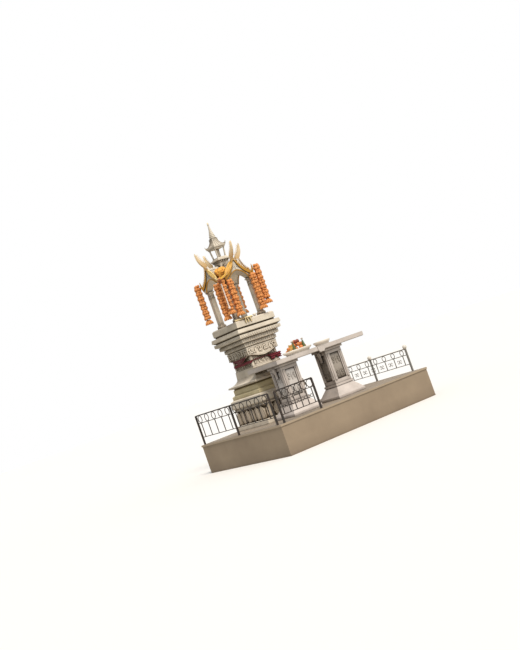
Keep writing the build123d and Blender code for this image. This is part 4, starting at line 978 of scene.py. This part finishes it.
tree.links.new(colour, shader.inputs["Base Color"])
bump = add(tree, "Bump", {"Height": peel, "Strength": 0.3, "Distance": 0.002}).outputs[0]
tree.links.new(bump, shader.inputs["Normal"])
middle = upright_axis("offering_heap") + [0, 0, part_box("offering_heap")[0].z]
v = np.linspace(0, 1, 11)
items, tints = [], []
for layer, (count, reach, rise) in enumerate(((9, 0.86, 0.0), (6, 0.55, 0.068), (3, 0.22, 0.130))):
    for k in range(count):
        angle = 2 * math.pi * (k + 0.5 * layer) / count
        size = ORANGE_SIZE * draw.uniform(0.9, 1.06)
        spot = middle + [(HEAP_HALF_X - size) * reach * math.cos(angle) + HEAP_SHIFT,
                         (HEAP_HALF_Y - size) * reach * math.sin(angle), rise + size]
        path = spot + points_at(0, 0, -size * np.cos(np.pi * v))
        items.append(tube(path, size * np.sin(np.pi * v) + 1e-5, 14))
        tints.append(ORANGE if draw.uniform() < 0.8 else RED_FRUIT)
u = np.linspace(0, 1, 12)
for k in range(6):
    angle = 0.2 + 1.7 * u
    path = points_at(0.085 * np.sin(angle) - 0.205, 0.018 * k - 0.05,
                     0.035 + 0.068 * (1 - np.cos(angle)) + 0.004 * k)
    items.append(tube(middle + path, 0.015 * np.sin(np.pi * (0.08 + 0.86 * u)) ** 0.5, 8, across=(0, 1, 0)))
    tints.append(BANANA)
for x, y in ((-0.10, -0.07), (0.12, -0.085), (0.0, 0.08)):
    items.append(tube(middle + points_at(x, y, 0.03 + 0.15 * v), 0.030 * (1 - v) ** 0.8 + 0.004, 12))
    tints.append(LEAF_CONE)
    for k in range(4):
        angle = k * math.pi / 2
        spot = middle + [x + 0.012 * math.cos(angle), y + 0.012 * math.sin(angle), 0.178 + 0.004 * k]
        items.append((head_points * 0.013 + spot, head_faces))
        tints.append(BLOSSOM)
for x, y, size, lift, kind in ((-0.165, 0.075, 0.036, 0, ORANGE), (-0.175, 0.0, 0.034, 0.05, ORANGE),
                               (-0.120, 0.085, 0.034, 0.05, BANANA), (-0.150, 0.040, 0.032, 0.05, BANANA)):
    path = middle + points_at(x, y, size * 0.8 + lift - 0.8 * size * np.cos(np.pi * v))
    items.append(tube(path, size * np.sin(np.pi * v) ** 0.7 + 1e-5, 14))
    tints.append(kind)
heap = make_piece("offerings", items, fruit_skin, tints=tints)
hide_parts("offering_heap")

# Laid string: a short string of pale yellow flowers, threaded on cotton and put down on the pavilion's floor.
# Three tails of it run to the floor's edge and hang over it.
FLOOR_HEADS, FLOOR_HEAD_SIZE, FLOOR_HEAD_PITCH = 15, 0.024, 0.026
TAIL_HEADS, TAIL_HEAD_SIZE, TAIL_DROP = 9, 0.014, 0.13
pale_yellow = flower_heads("pale_yellow_heads", "#dcb45c", "#f0dca0", "#fff0c8", "#a87c38")
low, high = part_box("upper_slab")
laid, tints = [], []
for k in range(FLOOR_HEADS):
    spot = shrine + [FLOOR_HEAD_PITCH * k - 0.400, -0.405 + 0.012 * math.sin(k * 1.3), high.z + 0.019]
    head = facing_out(head_points * FLOOR_HEAD_SIZE, (0.3 * math.sin(k), -0.5, 1), k)
    laid.append((head + spot, head_faces))
    tints.append(draw.uniform(0.6, 1.0))
edge_y = low.y - shrine[1] - 0.014
for start_x, start_y, end_x in ((-0.20, -0.37, -0.225), (-0.17, -0.36, -0.165), (-0.14, -0.38, -0.10)):
    for k in range(TAIL_HEADS):
        u = k / (TAIL_HEADS - 1)
        spot = shrine + [start_x + (end_x - start_x) * u, start_y + (edge_y - start_y) * min(1, u * 1.6),
                         high.z + 0.016 - max(0, u * 1.6 - 1) * TAIL_DROP]
        laid.append((facing_out(head_points * TAIL_HEAD_SIZE, (0, -1, 1), k) + spot, head_faces))
        tints.append(draw.uniform(0.5, 1.0))
make_piece("laid_string", laid, pale_yellow, tints=tints)

# Cup: a small white cup of the same glazed ware as the dishes, set down beside the string on the pavilion's
# floor. Its profile is in metres.
CUP = ((0, 0), (0.018, 0), (0.020, 0.006), (0.030, 0.022), (0.036, 0.050), (0.034, 0.051), (0.026, 0.020),
       (0, 0.014))
cup = thrown(CUP, shrine + [0.05, -0.395, 0], high.z, (1, 1), 1, 24)
make_piece("floor_cup", cup, glaze)
